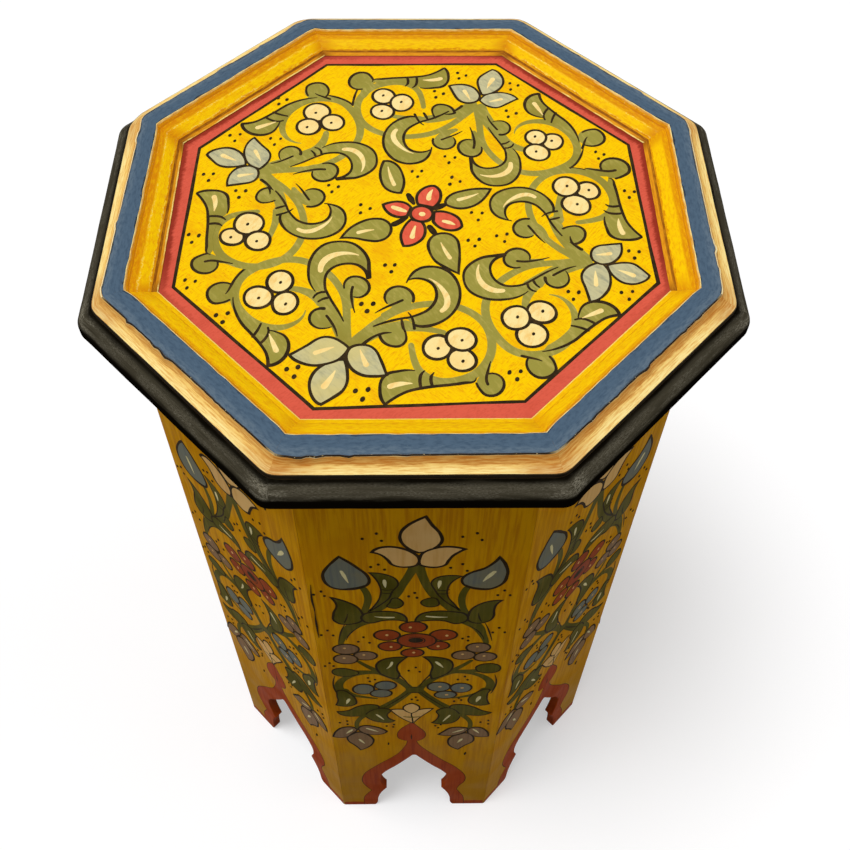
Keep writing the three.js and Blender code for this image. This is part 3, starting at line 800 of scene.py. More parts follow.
# Each quarter: its direction and size, what its parts are shifted by (right, down), sized and turned by,
# whether its left vine has a dark corner, its berries, and its dots in threes (place and turn)
QUARTERS = ((-112.6, 84.4, True, {},
             ((-44.2, 67.4, 5.9, 5.7), (-32.6, 66, 5.4, 5.9), (-39.5, 56.5, 5.5, 5.9),
              (45.4, 65, 5.7, 5.3), (34, 63, 5.6, 6.0), (41.3, 55.5, 6.2, 5.6)),
             ((0, 31.4, 60), (-0.5, 54.5, 65), (-53, 82.3, 55), (-14.5, 95.3, 60), (14.9, 94.5, 62),
              (67.4, 63.5, 60), (-10.7, -24.5, 65), (6.8, -26, 100), (24, -10.3, 65), (-24.1, 5.3, 95),
              (27.9, 4.9, 60))),
            (158.9, 85.7, True,
             {"left crescent": (0, 0.3, 0.9, 2), "right crescent": (-0.5, 0.3, 0.88, 9),
              "knob a": (-1.3, 1.6, 1.05, 5), "knob b": (-3.4, 2, 0.92), "knob c": (0, 0.6, 0.92),
              "knob d": (-3.3, 2.2, 0.85), "knob e": (1, 2, 1, -10), "knob f": (-3, 2, 1.03),
              "left leaf": (-0.3, 0), "right leaf": (-2.6, 1.2, 0.97, -5),
              "left petal": (-1.4, -0.9, 0.86, 2), "right petal": (-5, 1.4, 0.84, -8),
              "near petal": (-3.3, -1.2, 0.84), "left stem": (-1.2, 0), "right stem": (-1.6, 0),
              "right ring": (-2, 0.5, 0.97)},
             ((-44.5, 67.5, 6.0, 5.9), (-34.2, 67.2, 5.2, 5.5), (-40.8, 58, 5.2, 5.5),
              (39.5, 69.6, 4.6, 5.2), (30, 66.4, 6.2, 6.1), (37.5, 58.5, 5.4, 5.2)),
             ((-2.2, 41.1, 110), (-20.4, 77.5, 100), (-46, 86.5, 115), (-16, 96, 95), (11, 95.7, 95),
              (15, 78, 100), (45.7, 85.2, 100), (68.7, 75, 110))),
            (67.0, 82.4, True,
             {"left crescent": (-1, 2.2, 0.9), "right crescent": (5.2, 4.4, 1, 12),
              "knob a": (3, 3.2, 1.05), "knob b": (-2.6, 4.1, 0.9), "knob c": (0.7, 1.6, 0.92),
              "knob d": (0, 4), "knob e": (2.5, 8, 1.05), "knob f": (1.4, 1.6, 1.18),
              "left leaf": (1.2, 2.6), "right leaf": (2, 3.4, 1, -2), "left petal": (2.1, 4.5, 0.8, -4),
              "right petal": (0, 4.8, 0.9, 4), "near petal": (1, 3.4, 0.88, 4),
              "left ring": (1.4, 1.6, 0.98), "right ring": (1.5, 2), "left stem": (0.4, 3),
              "right stem": (2.5, 3), "right arm": (5, 1), "left arm": (0, 2)},
             ((-40.5, 69.4, 5.0, 5.4), (-32.2, 69, 5.0, 5.0), (-36, 59.6, 6.0, 5.4),
              (46.5, 67.4, 5.4, 5.4), (36.4, 66.5, 5.6, 5.9), (42.5, 57, 5.6, 5.2)),
             ((0.3, 39.3, 18), (-15.3, 79.9, 30), (22.3, 79.4, 30), (-63.8, 69.2, 25), (-9.6, 99.5, 30),
              (17.2, 96.6, 30))),
            (-19.9, 85.3, False,
             {"left crescent": (-0.6, 1, 0.93, 3), "right crescent": (1.8, -1.2, 0.87, 5),
              "knob a": (0.3, 0.4), "knob b": (-0.6, 0.6, 0.92), "knob c": (1.4, -1, 0.95),
              "knob d": (-3, 2, 0.98), "knob e": (1, 0.6, 1.02), "knob f": (-2.1, 2, 1.2),
              "left leaf": (1.5, -1.3, 0.98), "right leaf": (-3.4, -0.2, 0.97, -5),
              "left petal": (-0.8, -1, 0.93, -28), "right petal": (-3.4, 2.4, 0.82, -14),
              "near petal": (-1.2, -0.8, 0.78), "left ring": (0, -0.5), "right ring": (-4.2, 0.6, 0.97),
              "left stem": (-0.6, -1), "right stem": (-0.6, -1)},
             ((-45, 64.2, 6.2, 6.2), (-32.8, 64.8, 5.5, 5.9), (-39, 55.8, 6.0, 5.7), (40, 65.6, 5.2, 5.2),
              (29.9, 63, 5.8, 6.3), (39, 56, 5.8, 5.8)),
             ((1, 38, 30), (-19.6, 74.6, 50), (-11.9, 95.6, 35), (10.7, 93.4, 45), (44.6, 83.6, 45))))
MEAN_SIZE = 84.45
ORNAMENT_MIDDLE = (1.6, -1.45)


PER_SIDE = 16        # points along a side of an octagon


def octagon(apothem):
    ring = []
    for side in range(SIDES):
        middle = -math.pi / 2 + side * TURN
        c, s = math.cos(middle), math.sin(middle)
        for k in range(PER_SIDE):
            along = (2 * k / PER_SIDE - 1) * apothem * MITRE
            ring.append(Vector((apothem * c - along * s, apothem * s + along * c)))
    return ring


# The dark line inside the red band: how far it is from the middle at both ends of each side
LINE_AT = ((101.3, 98.9), (99.6, 100.1), (101.9, 99.8), (100.9, 100.0), (100.4, 99.9), (100.7, 99.2),
           (99.0, 100.5), (100.3, 99.7))
MEASURED_AT = 34     # where those ends were taken, from the middle of the side
LINE_HALF = 0.72     # half its width
YELLOW_END, RED_START = LINE_HALF - 0.3, LINE_HALF - 0.35    # both under the line
YELLOW_HIGH, RED_HIGH, LINE_HIGH = 0.02, 0.022, 0.028        # over the panel


def line_octagon(by, wobble=0.0, seed=0.0):
    """The hand-ruled octagon of the dark line, pushed outwards."""
    def edge(side):
        first, last = LINE_AT[side % SIDES]
        turn = Matrix.Rotation(side * TURN, 2)
        return turn @ Vector((-MEASURED_AT, -first - by)), turn @ Vector((MEASURED_AT, -last - by))

    corners = []
    for side in range(SIDES):
        (a, b), (c, d) = edge(side), edge(side + 1)
        corners.append(a + (b - a) * ((c - a).cross(d - c) / (b - a).cross(d - c)))
    ring = []
    for side in range(SIDES):
        for k in range(PER_SIDE):
            spot = corners[side - 1].lerp(corners[side], k / PER_SIDE)
            ring.append(spot * (1 + wobble * drift(3 * k, 31 * side, seed, 14) / spot.length))
    return ring


def flat_at(ring, height):
    return [(p.x, p.y, PANEL + height) for p in ring]


top_coats = Coats("panel", "top_paint")
ground_edge = line_octagon(YELLOW_END)
top_coats.slab("top_yellow", flat_at(ground_edge, YELLOW_HIGH), flat_at(ground_edge, -SUNK))
for colour, outer, inner, height in (
        ("top_border", octagon(FRAME_IN + 0.25), line_octagon(RED_START), RED_HIGH),
        ("top_line", line_octagon(LINE_HALF, 0.35, 3), line_octagon(-LINE_HALF, 0.35, 5), LINE_HIGH)):
    top_coats.hoop(colour, flat_at(outer, height), flat_at(inner, height), flat_at(outer, -SUNK),
                   flat_at(inner, -SUNK))
for k, (turn, size, corner, own, berries, dots) in enumerate(QUARTERS):
    place = on_top(ORNAMENT_MIDDLE, math.radians(turn), size / MEAN_SIZE)
    ground = Ground(top_coats, "top", place, k, leaning=k % 2 == 1, ink=1.1)
    quarter(ground, own, berries, corner)
    for spot in dots:
        ground.dots(*spot, 1.2 if k == 0 and spot[1] > 50 else 0.95)
flower(Ground(top_coats, "top", on_top(ORNAMENT_MIDDLE, math.radians(QUARTERS[0][0]), 1.0), len(QUARTERS),
              ink=1.15))
top_coats.finish()


# ---------- the side boards' ornament
def on_side(number):
    c, s = math.cos(number * TURN), math.sin(number * TURN)

    def lift(p, height):
        y = -(BODY + height)
        return (c * p.x - s * y, s * p.x + c * y, p.y)

    return lambda u, v: (u, v), lift


side_coats = Coats("side", "side_paint")


def side_ornament(g):
    # stems and leaves behind everything
    n, c, pale = "green", "cream", "touch"
    g.stroke(n, [(-0.4, 394), (-3, 383), (-5.8, 373), (-9.2, 362), (-14.5, 351), (-21.5, 342), (-27, 332)],
             5.0, 4.4, 4.2, 4.6, 5.0, 6.0, 7.0)
    g.stroke(n, [(1.4, 394), (3.6, 381), (8, 363), (14, 352), (20.5, 341.5), (27, 332)], 5.0, 4.4, 4.4, 4.8,
             6.4, 7.0)
    g.stroke(n, [(-24, 370), (-22.2, 359.5), (-23.4, 348), (-26, 338)], 3.4, 3.8, 3.6, 3.4)
    g.stroke(n, [(23.8, 370), (21.9, 359.5), (22.6, 348), (25.6, 338)], 3.4, 3.6, 3.4, 3.4)
    g.stroke(n, [(-24, 333), (-31.5, 324.5), (-35.6, 314), (-37.6, 303)], 9.0, 6.4, 4.2, 2.8)
    g.stroke(n, [(24, 333), (30.4, 324.5), (34, 313), (36, 303)], 9.0, 6.4, 4.2, 2.8)
    edges = (("line", ((33.6, 330.5), (36.8, 318), (38.6, 306)), (0.3, 1.0, 0.4)),
             ("line", ((26.2, 326), (31.6, 318), (34.6, 308)), (0.3, 0.9, 0.4)))
    for side in (-1, 1):
        for colour, spots, widths in edges:
            g.stroke(colour, [(side * x, y) for x, y in spots], *widths)
    # under the flower: leaves that run down to the knot, and the stems from it
    lower = ((n, ((16.5, 262), (9.5, 252), (4.6, 243), (2, 235)), (8.0, 5.2, 4.6, 4.6)),
             (n, ((2, 236), (6.4, 226), (12.4, 215), (19, 204.5), (25.5, 195)), (4.8, 5.0, 6.0, 7.4, 7.0)),
             (n, ((29.6, 279), (25.4, 272), (20.4, 265)), (2.4, 3.2, 4.0)),
             (n, ((38, 263.5), (28, 264), (19, 262)), (5.4, 3.6, 5.0)),
             (n, ((9.8, 257.5), (16, 261.3), (23.5, 262.2), (32, 259.6), (38.5, 253), (41.6, 244),
                  (40.6, 234.5)), (5.0, 3.4, 3.4, 4.4, 4.8, 5.4)),
             (n, ((39, 236), (34, 228), (27, 224), (21.5, 222)), (5.0, 4.0, 3.2, 1.6)),
             ("line", ((43, 258), (44.6, 246), (44, 236), (42.6, 229)), (0.4, 1.0, 1.0, 0.6)),
             ("line", ((9.6, 266), (7.8, 258), (4.8, 249.5), (2.6, 241)), (0.9, 1.0, 0.8, 0.4)),
             ("line", ((3.4, 231), (7.4, 223.5), (13, 214), (17.4, 207)), (0.4, 0.9, 0.9, 0.4)))
    for side in (-1, 1):
        for colour, spots, widths in lower:
            g.stroke(colour, [(side * x, y) for x, y in spots], *widths)
    g.lay(n, [Vector(p) for p in ((-5.2, 240.5), (-4.6, 230.5), (4.6, 230.5), (5.2, 240.5))])
    g.stroke("line", [(-4.6, 240.4), (0, 239.9), (4.8, 240.4)], 0.5, 0.9, 0.5)
    g.stroke("line", [(-4.4, 230.8), (0, 231.4), (4.6, 230.8)], 0.5, 0.9, 0.5)
    # leaves beside the upper stems
    g.shape(n, [(-20.8, 386.6, 1), (-14.5, 385.2), (-9.2, 380.4), (-7.7, 373.6), (-10.4, 366.6),
                (-12.6, 358), (-18, 349), (-22.4, 343.4, 1), (-19.4, 350), (-16.6, 359.5), (-15.9, 369.5),
                (-17.4, 378.4)], 0.45)
    g.shape(n, [(20.9, 382.4, 1), (15.5, 383.4), (10.2, 381.6), (7.4, 375.6), (9, 368), (11.6, 360),
                (16.4, 351), (21.6, 343.4, 1), (18.6, 351), (15.5, 359.5), (14.9, 367.4), (16.6, 376)],
            0.45)
    for side, level in ((-1, 368.6), (-1, 364.8), (1, 367.6), (1, 364)):
        g.stroke("line", [(side * 15.9, level + 0.4), (side * 13.2, level - 0.7), (side * 10.2, level)],
                 0.5, 0.9, 0.5)
    g.touch(pale, (-14, 378.6), (-13.6, 370.8), 1.9)
    g.touch(pale, (11.3, 377.4), (10.8, 369.6), 1.9)
    g.shape(n, [(-9.6, 359), (-6, 355), (-6, 350.4), (-9, 347.2), (-13.2, 349.4), (-12, 353.4)], 0.4)
    g.shape(n, [(8.6, 358.8), (3.6, 356.6), (2.6, 352.6), (6, 348.4), (10.4, 349.4), (11, 354)], 0.4)
    g.shape(n, [(-39.6, 360.2, 1), (-33.2, 355.8), (-27.8, 349.4), (-25.2, 340), (-26.2, 332), (-31, 328.8),
                (-36, 328.6), (-39.3, 333), (-39, 341.5), (-37.2, 351)])
    g.shape(n, [(41.2, 355.6, 1), (34.2, 354.2), (28.4, 348.4), (25.8, 339.5), (26, 332), (30.5, 328.8),
                (35.5, 331), (37.9, 337), (37.8, 344), (38.4, 350)])
    g.stroke("line", [(-32.5, 341), (-33, 336), (-34.4, 330.5)], 0.3, 0.9, 0.6)
    g.stroke("line", [(30.6, 341), (31, 336), (32.2, 331)], 0.3, 0.9, 0.6)
    # arched leaves over the flower
    g.shape(n, [(-23.6, 341.4), (-15.7, 343.8), (-9, 342.6), (-5.1, 338.2), (-4, 331.2, 1), (-9.5, 333.2),
                (-15.8, 332.6), (-22.4, 329.8), (-26, 334.6)])
    g.shape(n, [(23.4, 340.6), (17.6, 342.6), (10.5, 343.4), (3.8, 341), (0.8, 336), (0.3, 330.8, 1),
                (6.7, 332.4), (14.2, 331.8), (20.6, 328.4), (25.4, 333.4)])
    g.touch(pale, (-10.4, 336.6), (-19.6, 337.6), 1.7, 0.05)
    g.touch(pale, (5.6, 337.4), (15.6, 336.4), 1.7, -0.05)
    # buds
    g.shape("slate", [(-33.6, 402.8, 1), (-38.6, 394.4), (-41.6, 386), (-41.4, 378), (-38, 371),
                      (-32.6, 368.8), (-25.8, 370.2), (-21.4, 375.2), (-21.6, 383.2), (-26, 392)], 0.75)
    g.shape("slate", [(37, 402.2, 1), (40.6, 392), (41.5, 383.2), (39.6, 374.4), (34.2, 368.6), (28, 368.8),
                      (23, 372.4), (21.2, 379), (24.4, 385.6), (31.4, 391)], 0.75)
    g.stroke("line", [(-35.8, 369.7), (-30, 369.4), (-23.4, 373.2)], 0.8, 2.4, 1.0)
    g.stroke("line", [(35.4, 369.6), (28.6, 369.2), (23, 373.4)], 0.8, 2.4, 1.0)
    g.touch(pale, (-33.4, 388.6), (-30.6, 376), 1.9)
    g.touch(pale, (35.6, 387), (30.8, 377), 2.5)
    # three-petalled flower
    g.shape(c, [(4, 439.8, 1), (6.9, 432), (10.6, 423.6), (10.5, 415.6), (6.4, 409.2), (1.2, 406.8, 1),
                (-4, 412), (-6.6, 419.8), (-5.8, 427), (-2, 433.6)], 0.75)
    g.shape(c, [(-19, 407.2, 1), (-15.2, 411.6), (-8.4, 412), (-2.2, 407.8), (1.4, 401), (0.4, 394, 1),
                (-5.8, 392.2), (-10.2, 394.6), (-12.4, 400), (-15.4, 405)], 0.75)
    g.shape(c, [(21.6, 409.6, 1), (15.5, 412), (9.2, 411.4), (3.4, 406.6), (1.8, 400), (2, 394.6, 1),
                (8, 391.8), (13, 394), (14.6, 398.6), (17, 404.4)], 0.75)
    # flower of seven red rounds
    for x, y, size in ((-0.8, 324.2, 6.6), (-13.9, 314.2, 6.5), (14.3, 314, 6.8), (-12.6, 299.6, 6.0),
                       (11.8, 299.8, 5.7), (-1.2, 290.4, 5.8)):
        g.ball("red", x, y, size)
    g.ball("red", 1, 306.9, 9.6, 9.2)
    g.stroke("line", [(-3, 310), (0.6, 311.8), (4.6, 309), (4.4, 304.6), (0.4, 302.6)], 0.3, 0.8, 0.3)
    g.lay("line", disc(0.5, 307.4, 3.7, 3.4))
    for x, y in ((-2.2, 324.2), (-13.9, 314.4), (16, 313.2), (-12.2, 299), (11.8, 299.2), (-0.6, 291)):
        g.lay(c, disc(x, y, 0.8, 1.2))
    # leaves below it
    g.shape(n, [(-4, 284.2, 1), (-10.8, 284.2), (-17, 281), (-20.2, 274.6), (-20, 266.6), (-17.4, 259.6),
                (-9.6, 253, 1), (-8.2, 259.4), (-9.5, 266.4), (-9, 274), (-6.4, 280)])
    g.shape(n, [(4.8, 284.6, 1), (11.8, 284.2), (17.8, 280.4), (20.2, 273), (19.2, 265), (16, 258.8),
                (9.4, 252.6, 1), (8.4, 261), (9.4, 270.6), (7.8, 278.6)])
    g.touch(pale, (-12, 277.8), (-15, 268.4), 1.6, 0.06)
    g.touch(pale, (11.2, 277.8), (15, 269.8), 2.0)
    # berries
    for x, y, size in ((-35.2, 296.2, 6.6), (-25.6, 287, 6.0), (-36, 282.6, 6.4), (32.4, 297.2, 6.2),
                       (25.2, 287, 6.0), (36.6, 284.4, 6.0)):
        g.ball("berry", x, y, size)
        g.lay(c, disc(x - 0.7, y + 1.4, 0.8, 1.0))
    for x, y, size, tall in ((-28.2, 237.6, 6.0, 8.0), (-15.8, 243, 6.0, 6.6), (-18.6, 230.6, 6.0, 5.9),
                             (13.2, 240.6, 6.2, 7.2), (25.4, 238.6, 5.8, 7.2), (17.2, 227.6, 6.2, 5.8)):
        g.ball("slate", x, y, size, tall)
        if x > 0:
            g.lay(c, disc(x + 0.6, y + 0.2, 1.0, 1.2))
    # round ends beside them
    g.shape(n, [(-43.2, 267.4), (-39.2, 269.6), (-33.2, 267), (-30, 262.6), (-33.4, 258.6), (-39.4, 257.6),
                (-43.6, 261.4)], 0.4)
    g.shape(n, [(45.6, 268), (43.4, 273.4), (38.4, 274.8), (33.2, 271), (33.2, 264.8), (38, 261),
                (43.8, 262.6)], 0.4)
    # end leaves of the lower rings
    g.shape(n, [(-41.6, 236), (-43.2, 228.6), (-43.2, 220), (-44.8, 212.2, 1), (-38.6, 209.8), (-33.8, 213),
                (-33, 220.4), (-34.8, 228)], 0.45)
    g.shape(n, [(41, 236), (40.8, 228.6), (41, 220), (42.8, 212, 1), (36.8, 209.8), (31.8, 213.6),
                (30.6, 221), (33.4, 229)], 0.45)
    g.touch(pale, (-36.8, 222), (-38.8, 214), 2.1)
    g.touch(pale, (36.6, 224), (35.2, 215.6), 2.5)
    # leaves at the foot of the stems
    g.shape(n, [(-44.6, 200.8, 1), (-38.4, 202.4), (-33.4, 208.4), (-27, 212.3), (-21, 210.4), (-22.4, 202),
                (-27, 194.4), (-33, 192.6), (-38.6, 192.6), (-42.4, 195)], 0.45)
    g.shape(n, [(44.4, 197.2, 1), (38.4, 201.4), (34.4, 206.4), (28, 211), (21.6, 210.2), (21, 202),
                (25.6, 195), (33, 192.8), (38.6, 192.2)], 0.45)
    g.shape(n, [(-28.4, 194), (-25.4, 186.4), (-20.8, 182), (-14.6, 180.8), (-11.6, 184, 1), (-15, 188.6),
                (-15.8, 195), (-14, 203), (-20, 206)], 0.45)
    g.shape(n, [(26, 196), (25.4, 185), (22, 179.6), (15.6, 177.6), (10.4, 180, 1), (13, 185.4),
                (14.2, 192.6), (13, 201), (19, 206)], 0.45)
    g.touch(pale, (-22, 195.4), (-17.8, 186.2), 1.6)
    g.touch(pale, (20.6, 193.2), (16.8, 182.4), 1.5)
    # hanging flowers
    for side, stem in ((-1, [(-28.4, 194), (-31.4, 188.8), (-33.8, 180), (-34, 171)]),
                       (1, [(26.8, 194), (30, 188.8), (33, 180), (33, 169.6)])):
        g.stroke(n, stem, 3.6, 3.0, 2.8, 2.6)
    for petal in ([(-37.4, 173), (-43, 171.8), (-46.6, 166), (-49.4, 155.2, 1), (-42, 154.2),
                   (-37.4, 161.6), (-34.4, 168.8)],
                  [(-33.4, 171), (-29.4, 175.4), (-23.4, 173.2), (-16.6, 164.4, 1), (-20.8, 159),
                   (-28, 159.6), (-32.4, 165)],
                  [(-36.8, 160.6), (-40.6, 154.6), (-40.4, 146.6), (-36.6, 137.6), (-33.4, 128.6, 1),
                   (-28.4, 134.8), (-25.2, 144.6), (-25.8, 152.6), (-29.8, 160.6), (-33.4, 163.4)],
                  [(32, 168.6), (28, 171), (22, 170.2), (18, 164), (14.8, 158, 1), (22, 155.8),
                   (29, 160.4)],
                  [(33.4, 168.8), (38, 170.8), (41.8, 167.4), (45, 153.8, 1), (38, 153.6), (33, 159)],
                  [(28.2, 158.6), (23, 153.6), (20.9, 146), (22.4, 135), (27.4, 128.4, 1), (31.2, 136),
                   (35.8, 143.8), (36, 152.4), (34, 157.8), (31, 160.4)]):
        g.shape("berry", petal)
    for a, b, width in (((-37.4, 168), (-41, 161.4), 1.9), ((-28.4, 170.6), (-21.8, 164.2), 1.9),
                        ((-33.6, 149.6), (-30.8, 141.6), 1.7), ((29.4, 166.6), (23, 161.4), 1.6),
                        ((35.6, 167.2), (39.2, 160), 1.6), ((29, 149), (26.6, 142), 1.9)):
        g.touch(pale, a, b, width)
    # tulip over the arch
    g.shape(c, [(-13.6, 203.2, 1), (-6.6, 203.6), (-1.6, 197.6), (-1, 188), (-1, 179.6, 1), (-5.8, 186),
                (-10.6, 195)], 0.45)
    g.shape(c, [(10.6, 205, 1), (3.6, 203.6), (-1.4, 197.6), (-1.2, 188), (-0.8, 179.6, 1), (3.2, 189.6),
                (7, 197.6)], 0.45)
    g.shape(c, [(-1.6, 214, 1), (-5.8, 209.4), (-6.2, 204.4), (-1.8, 197.2, 1), (2.2, 203), (2.4, 208.6)],
            0.45)
    g.stroke(n, [(-6.2, 191.4), (-1.4, 190.4), (3, 191.2)], 1.0, 2.0, 1.0)
    for spots in (((-16.5, 425), (-22.6, 420.2), (-14.5, 418.2)), ((26.2, 424.9), (20, 421.8), (28.4, 418.6)),
                  ((-19.8, 392.6), (-16.4, 395), (-13.8, 389.8)), ((15.6, 391.4), (20.9, 395), (23.2, 388.2)),
                  ((-47.2, 363.6), (-43.5, 367), (-42.2, 362)), ((41.4, 367), (38.6, 361.8), (44.4, 361.6)),
                  ((-0.4, 364.8), (-3.2, 361), (0.6, 359.4)), ((-43.2, 321), (-46.6, 315), (-40.8, 314.6)),
                  ((41.4, 322.8), (38.6, 317), (44.6, 317)), ((-25.8, 312), (-28.6, 306.2), (-22.9, 304.8)),
                  ((26.8, 311.6), (24, 309.4), (26.8, 306.6)), ((-44.8, 277), (-47.4, 272.9), (-42.9, 272.9)),
                  ((0.6, 270), (-3.2, 265.4), (2.6, 263.8)), ((-25.4, 255), (-24.5, 249.8), (-21.6, 252.4)),
                  ((27, 255.9), (23.4, 251.5), (28.6, 251)), ((0.6, 224), (-1.6, 220.6), (1.6, 219)),
                  ((22.6, 217), (26.5, 218.8), (25, 222)), ((-44, 181), (-39.5, 183.8), (-39.5, 178)),
                  ((-16.4, 174.4), (-12, 177), (-12.6, 172.6)), ((39.2, 180), (43.6, 183), (43.9, 177)),
                  ((12.4, 174.4), (15.6, 176.4), (14.2, 170.6))):
        for x, y in spots:
            g.dot(x, y, 0.85)
    if not g.seed:
        # a worn crack beside the left mitre
        g.stroke("line", [(-47.9, 374), (-48.3, 356), (-47.8, 345), (-48.2, 330), (-47.9, 312)], 0.2, 1.0,
                 0.3, 1.1, 0.2)
    g.stroke("line", [(-15.8, 142), (-16, 138.6)], 0.5, 1.2, 0.5)
    g.stroke("line", [(32.6, 121.6), (32, 117)], 0.5, 1.6, 0.6)


def quadratic(a, by, b, steps):
    for k in range(1, steps + 1):
        s = k / steps
        yield tuple((1 - s) ** 2 * p + 2 * s * (1 - s) * q + s ** 2 * r for p, q, r in zip(a, by, b))


FOOT = 27.4      # from the middle of a side to its foot's inner corner


def sawn_arch():
    """The arch from one foot's corner over the tip to the other's."""
    half = [(FOOT, 0.0)]
    for by, to in (((25.5, 4), (25.5, 8)), ((25.5, 24.75), (19.2, 40.7)), ((18.4, 41.5), (19.2, 42.3)),
                   ((22.8, 53.25), (22.8, 65)), ((22.34, 76.33), (12.54, 91.78)), ((5.7, 105.17), (1.5, 115)),
                   ((0.75, 116.5), (0, 116.5))):
        half += quadratic(half[-1], by, to, 6)
    return half + [(-x, z) for x, z in half[-2::-1]]


ARCH = sawn_arch()
EASE = 0.7       # how far the sawn edges are eased
HEM = 0.8        # where the paint of the border ends over the floor

# The red-brown border over the arch, with its finial: its outer line from the left foot
BORDER = [(-35.2, 0.8, 1), (-35.3, 7.6), (-34.4, 21), (-32, 29), (-29, 37, 1), (-32.4, 47), (-34.6, 58),
          (-34, 70), (-31.6, 79.6), (-26.8, 89.6), (-20, 102), (-14.4, 111.4), (-10, 120.4), (-6.8, 130.4),
          (-4.6, 140), (-4.2, 145.6, 1), (-8.8, 149.4), (-10.2, 157), (-8.4, 167), (-4.6, 174.8),
          (-1.2, 180, 1), (2.2, 172), (5.8, 163), (6.6, 155.4), (4.8, 149), (1.2, 144.6, 1), (3.2, 136.4),
          (8, 125.2), (13, 115.2), (18.2, 105), (24.2, 95), (29.4, 84), (33, 73.6), (34.3, 63.6),
          (33.4, 55), (30.6, 46.6), (29.2, 37.8, 1), (31.8, 29), (34.2, 20), (35.2, 7.6), (35.4, 0.8, 1)]
STRIP = [(34, 0.8), (49.2, 0.8), (49.2, 8.6), (42, 9.4), (34, 8.4)]     # along the foot, to the mitre


def side_border(g):
    sawn = grown([Vector((FOOT, HEM))] + [Vector(p) for p in ARCH if p[1] > 1] + [Vector((-FOOT, HEM))],
                 EASE * 0.9)
    sawn = [p for p in sawn if p.y > HEM]
    if sawn[0].x < 0:
        sawn = sawn[::-1]
    g.lay("border", STRIP)
    g.lay("border", [(-x, y * 0.86 + 0.1) for x, y in STRIP])
    outer = smooth(BORDER)
    g.stroke("line", [tuple(p) for p in outer], 0.7, 1.0, 0.6, 1.0, 0.8, 1.0, 0.7)
    g.lay("border", outer + sawn)
    g.stroke("line", [(-1.6, 158), (-1.8, 153), (-1.6, 148)], 0.3, 1.0, 0.3)


# ---------- the side boards themselves
YELLOW, RED, WOOD = range(3)


def side_board(number):
    """A board with the arch sawn out and its edges eased, painted red there and bare inside."""
    half = BODY * MITRE
    outline = [(half, 0.0), (half, SIDE_TOP), (-half, SIDE_TOP), (-half, 0.0)] + [(-x, z) for x, z in ARCH]
    inside = BODY - WALL
    bm = bmesh.new()
    front, back = [], []
    for x, z in outline:
        at_mitre = abs(x) > half - 0.01
        front.append(bm.verts.new((x, -BODY, z)))
        back.append(bm.verts.new((x * inside / BODY if at_mitre else x, -inside, z)))
    bm.faces.new(front).material_index = YELLOW
    bm.faces.new(back[::-1]).material_index = WOOD
    for i in range(len(outline)):
        j = (i + 1) % len(outline)
        face = bm.faces.new((front[j], front[i], back[i], back[j]))
        face.material_index = RED if i >= 3 else WOOD    # the mitres and the top come first
    bm.normal_update()
    rims = [e for e in bm.edges if e.calc_face_angle() > math.radians(35)]
    bmesh.ops.bevel(bm, geom=rims, offset=EASE, segments=3, profile=0.6, affect="EDGES", clamp_overlap=True)
    bmesh.ops.recalc_face_normals(bm, faces=bm.faces)
    for face in bm.faces:
        spot = face.calc_center_median()
        if face.normal.y > 0.02:
            face.material_index = WOOD
        elif face.normal.y > -0.999 and abs(spot.x) < half - 2 and spot.z < SIDE_TOP / 2:
            face.material_index = RED
    turn = Matrix.Rotation(number * TURN, 3, "Z")
    points = [turn @ v.co for v in bm.verts]
    faces = [tuple(v.index for v in f.verts) for f in bm.faces]
    which = [f.material_index for f in bm.faces]
    bm.free()
    piece(f"side_{number + 1}", points, faces, [paints["side_ground"], paints["side_border"], stained_wood],
          which, sharp=28, replaces=[f"side_board_{number + 1}"])


for number in range(SIDES):
    side_board(number)
    side_ornament(Ground(side_coats, "side", on_side(number), number))
    side_border(Ground(side_coats, "side", on_side(number), number, sway=0.0))
side_coats.finish()


# ---------- the top board with its black round edge
CORNER_ROUND = 8.0                    # seen from above
ROUND_UNDER, ROUND_TOP = 1.6, 6.0     # seen from the side
ALONG_SIDE, ALONG_CORNER = 22, 7      # points


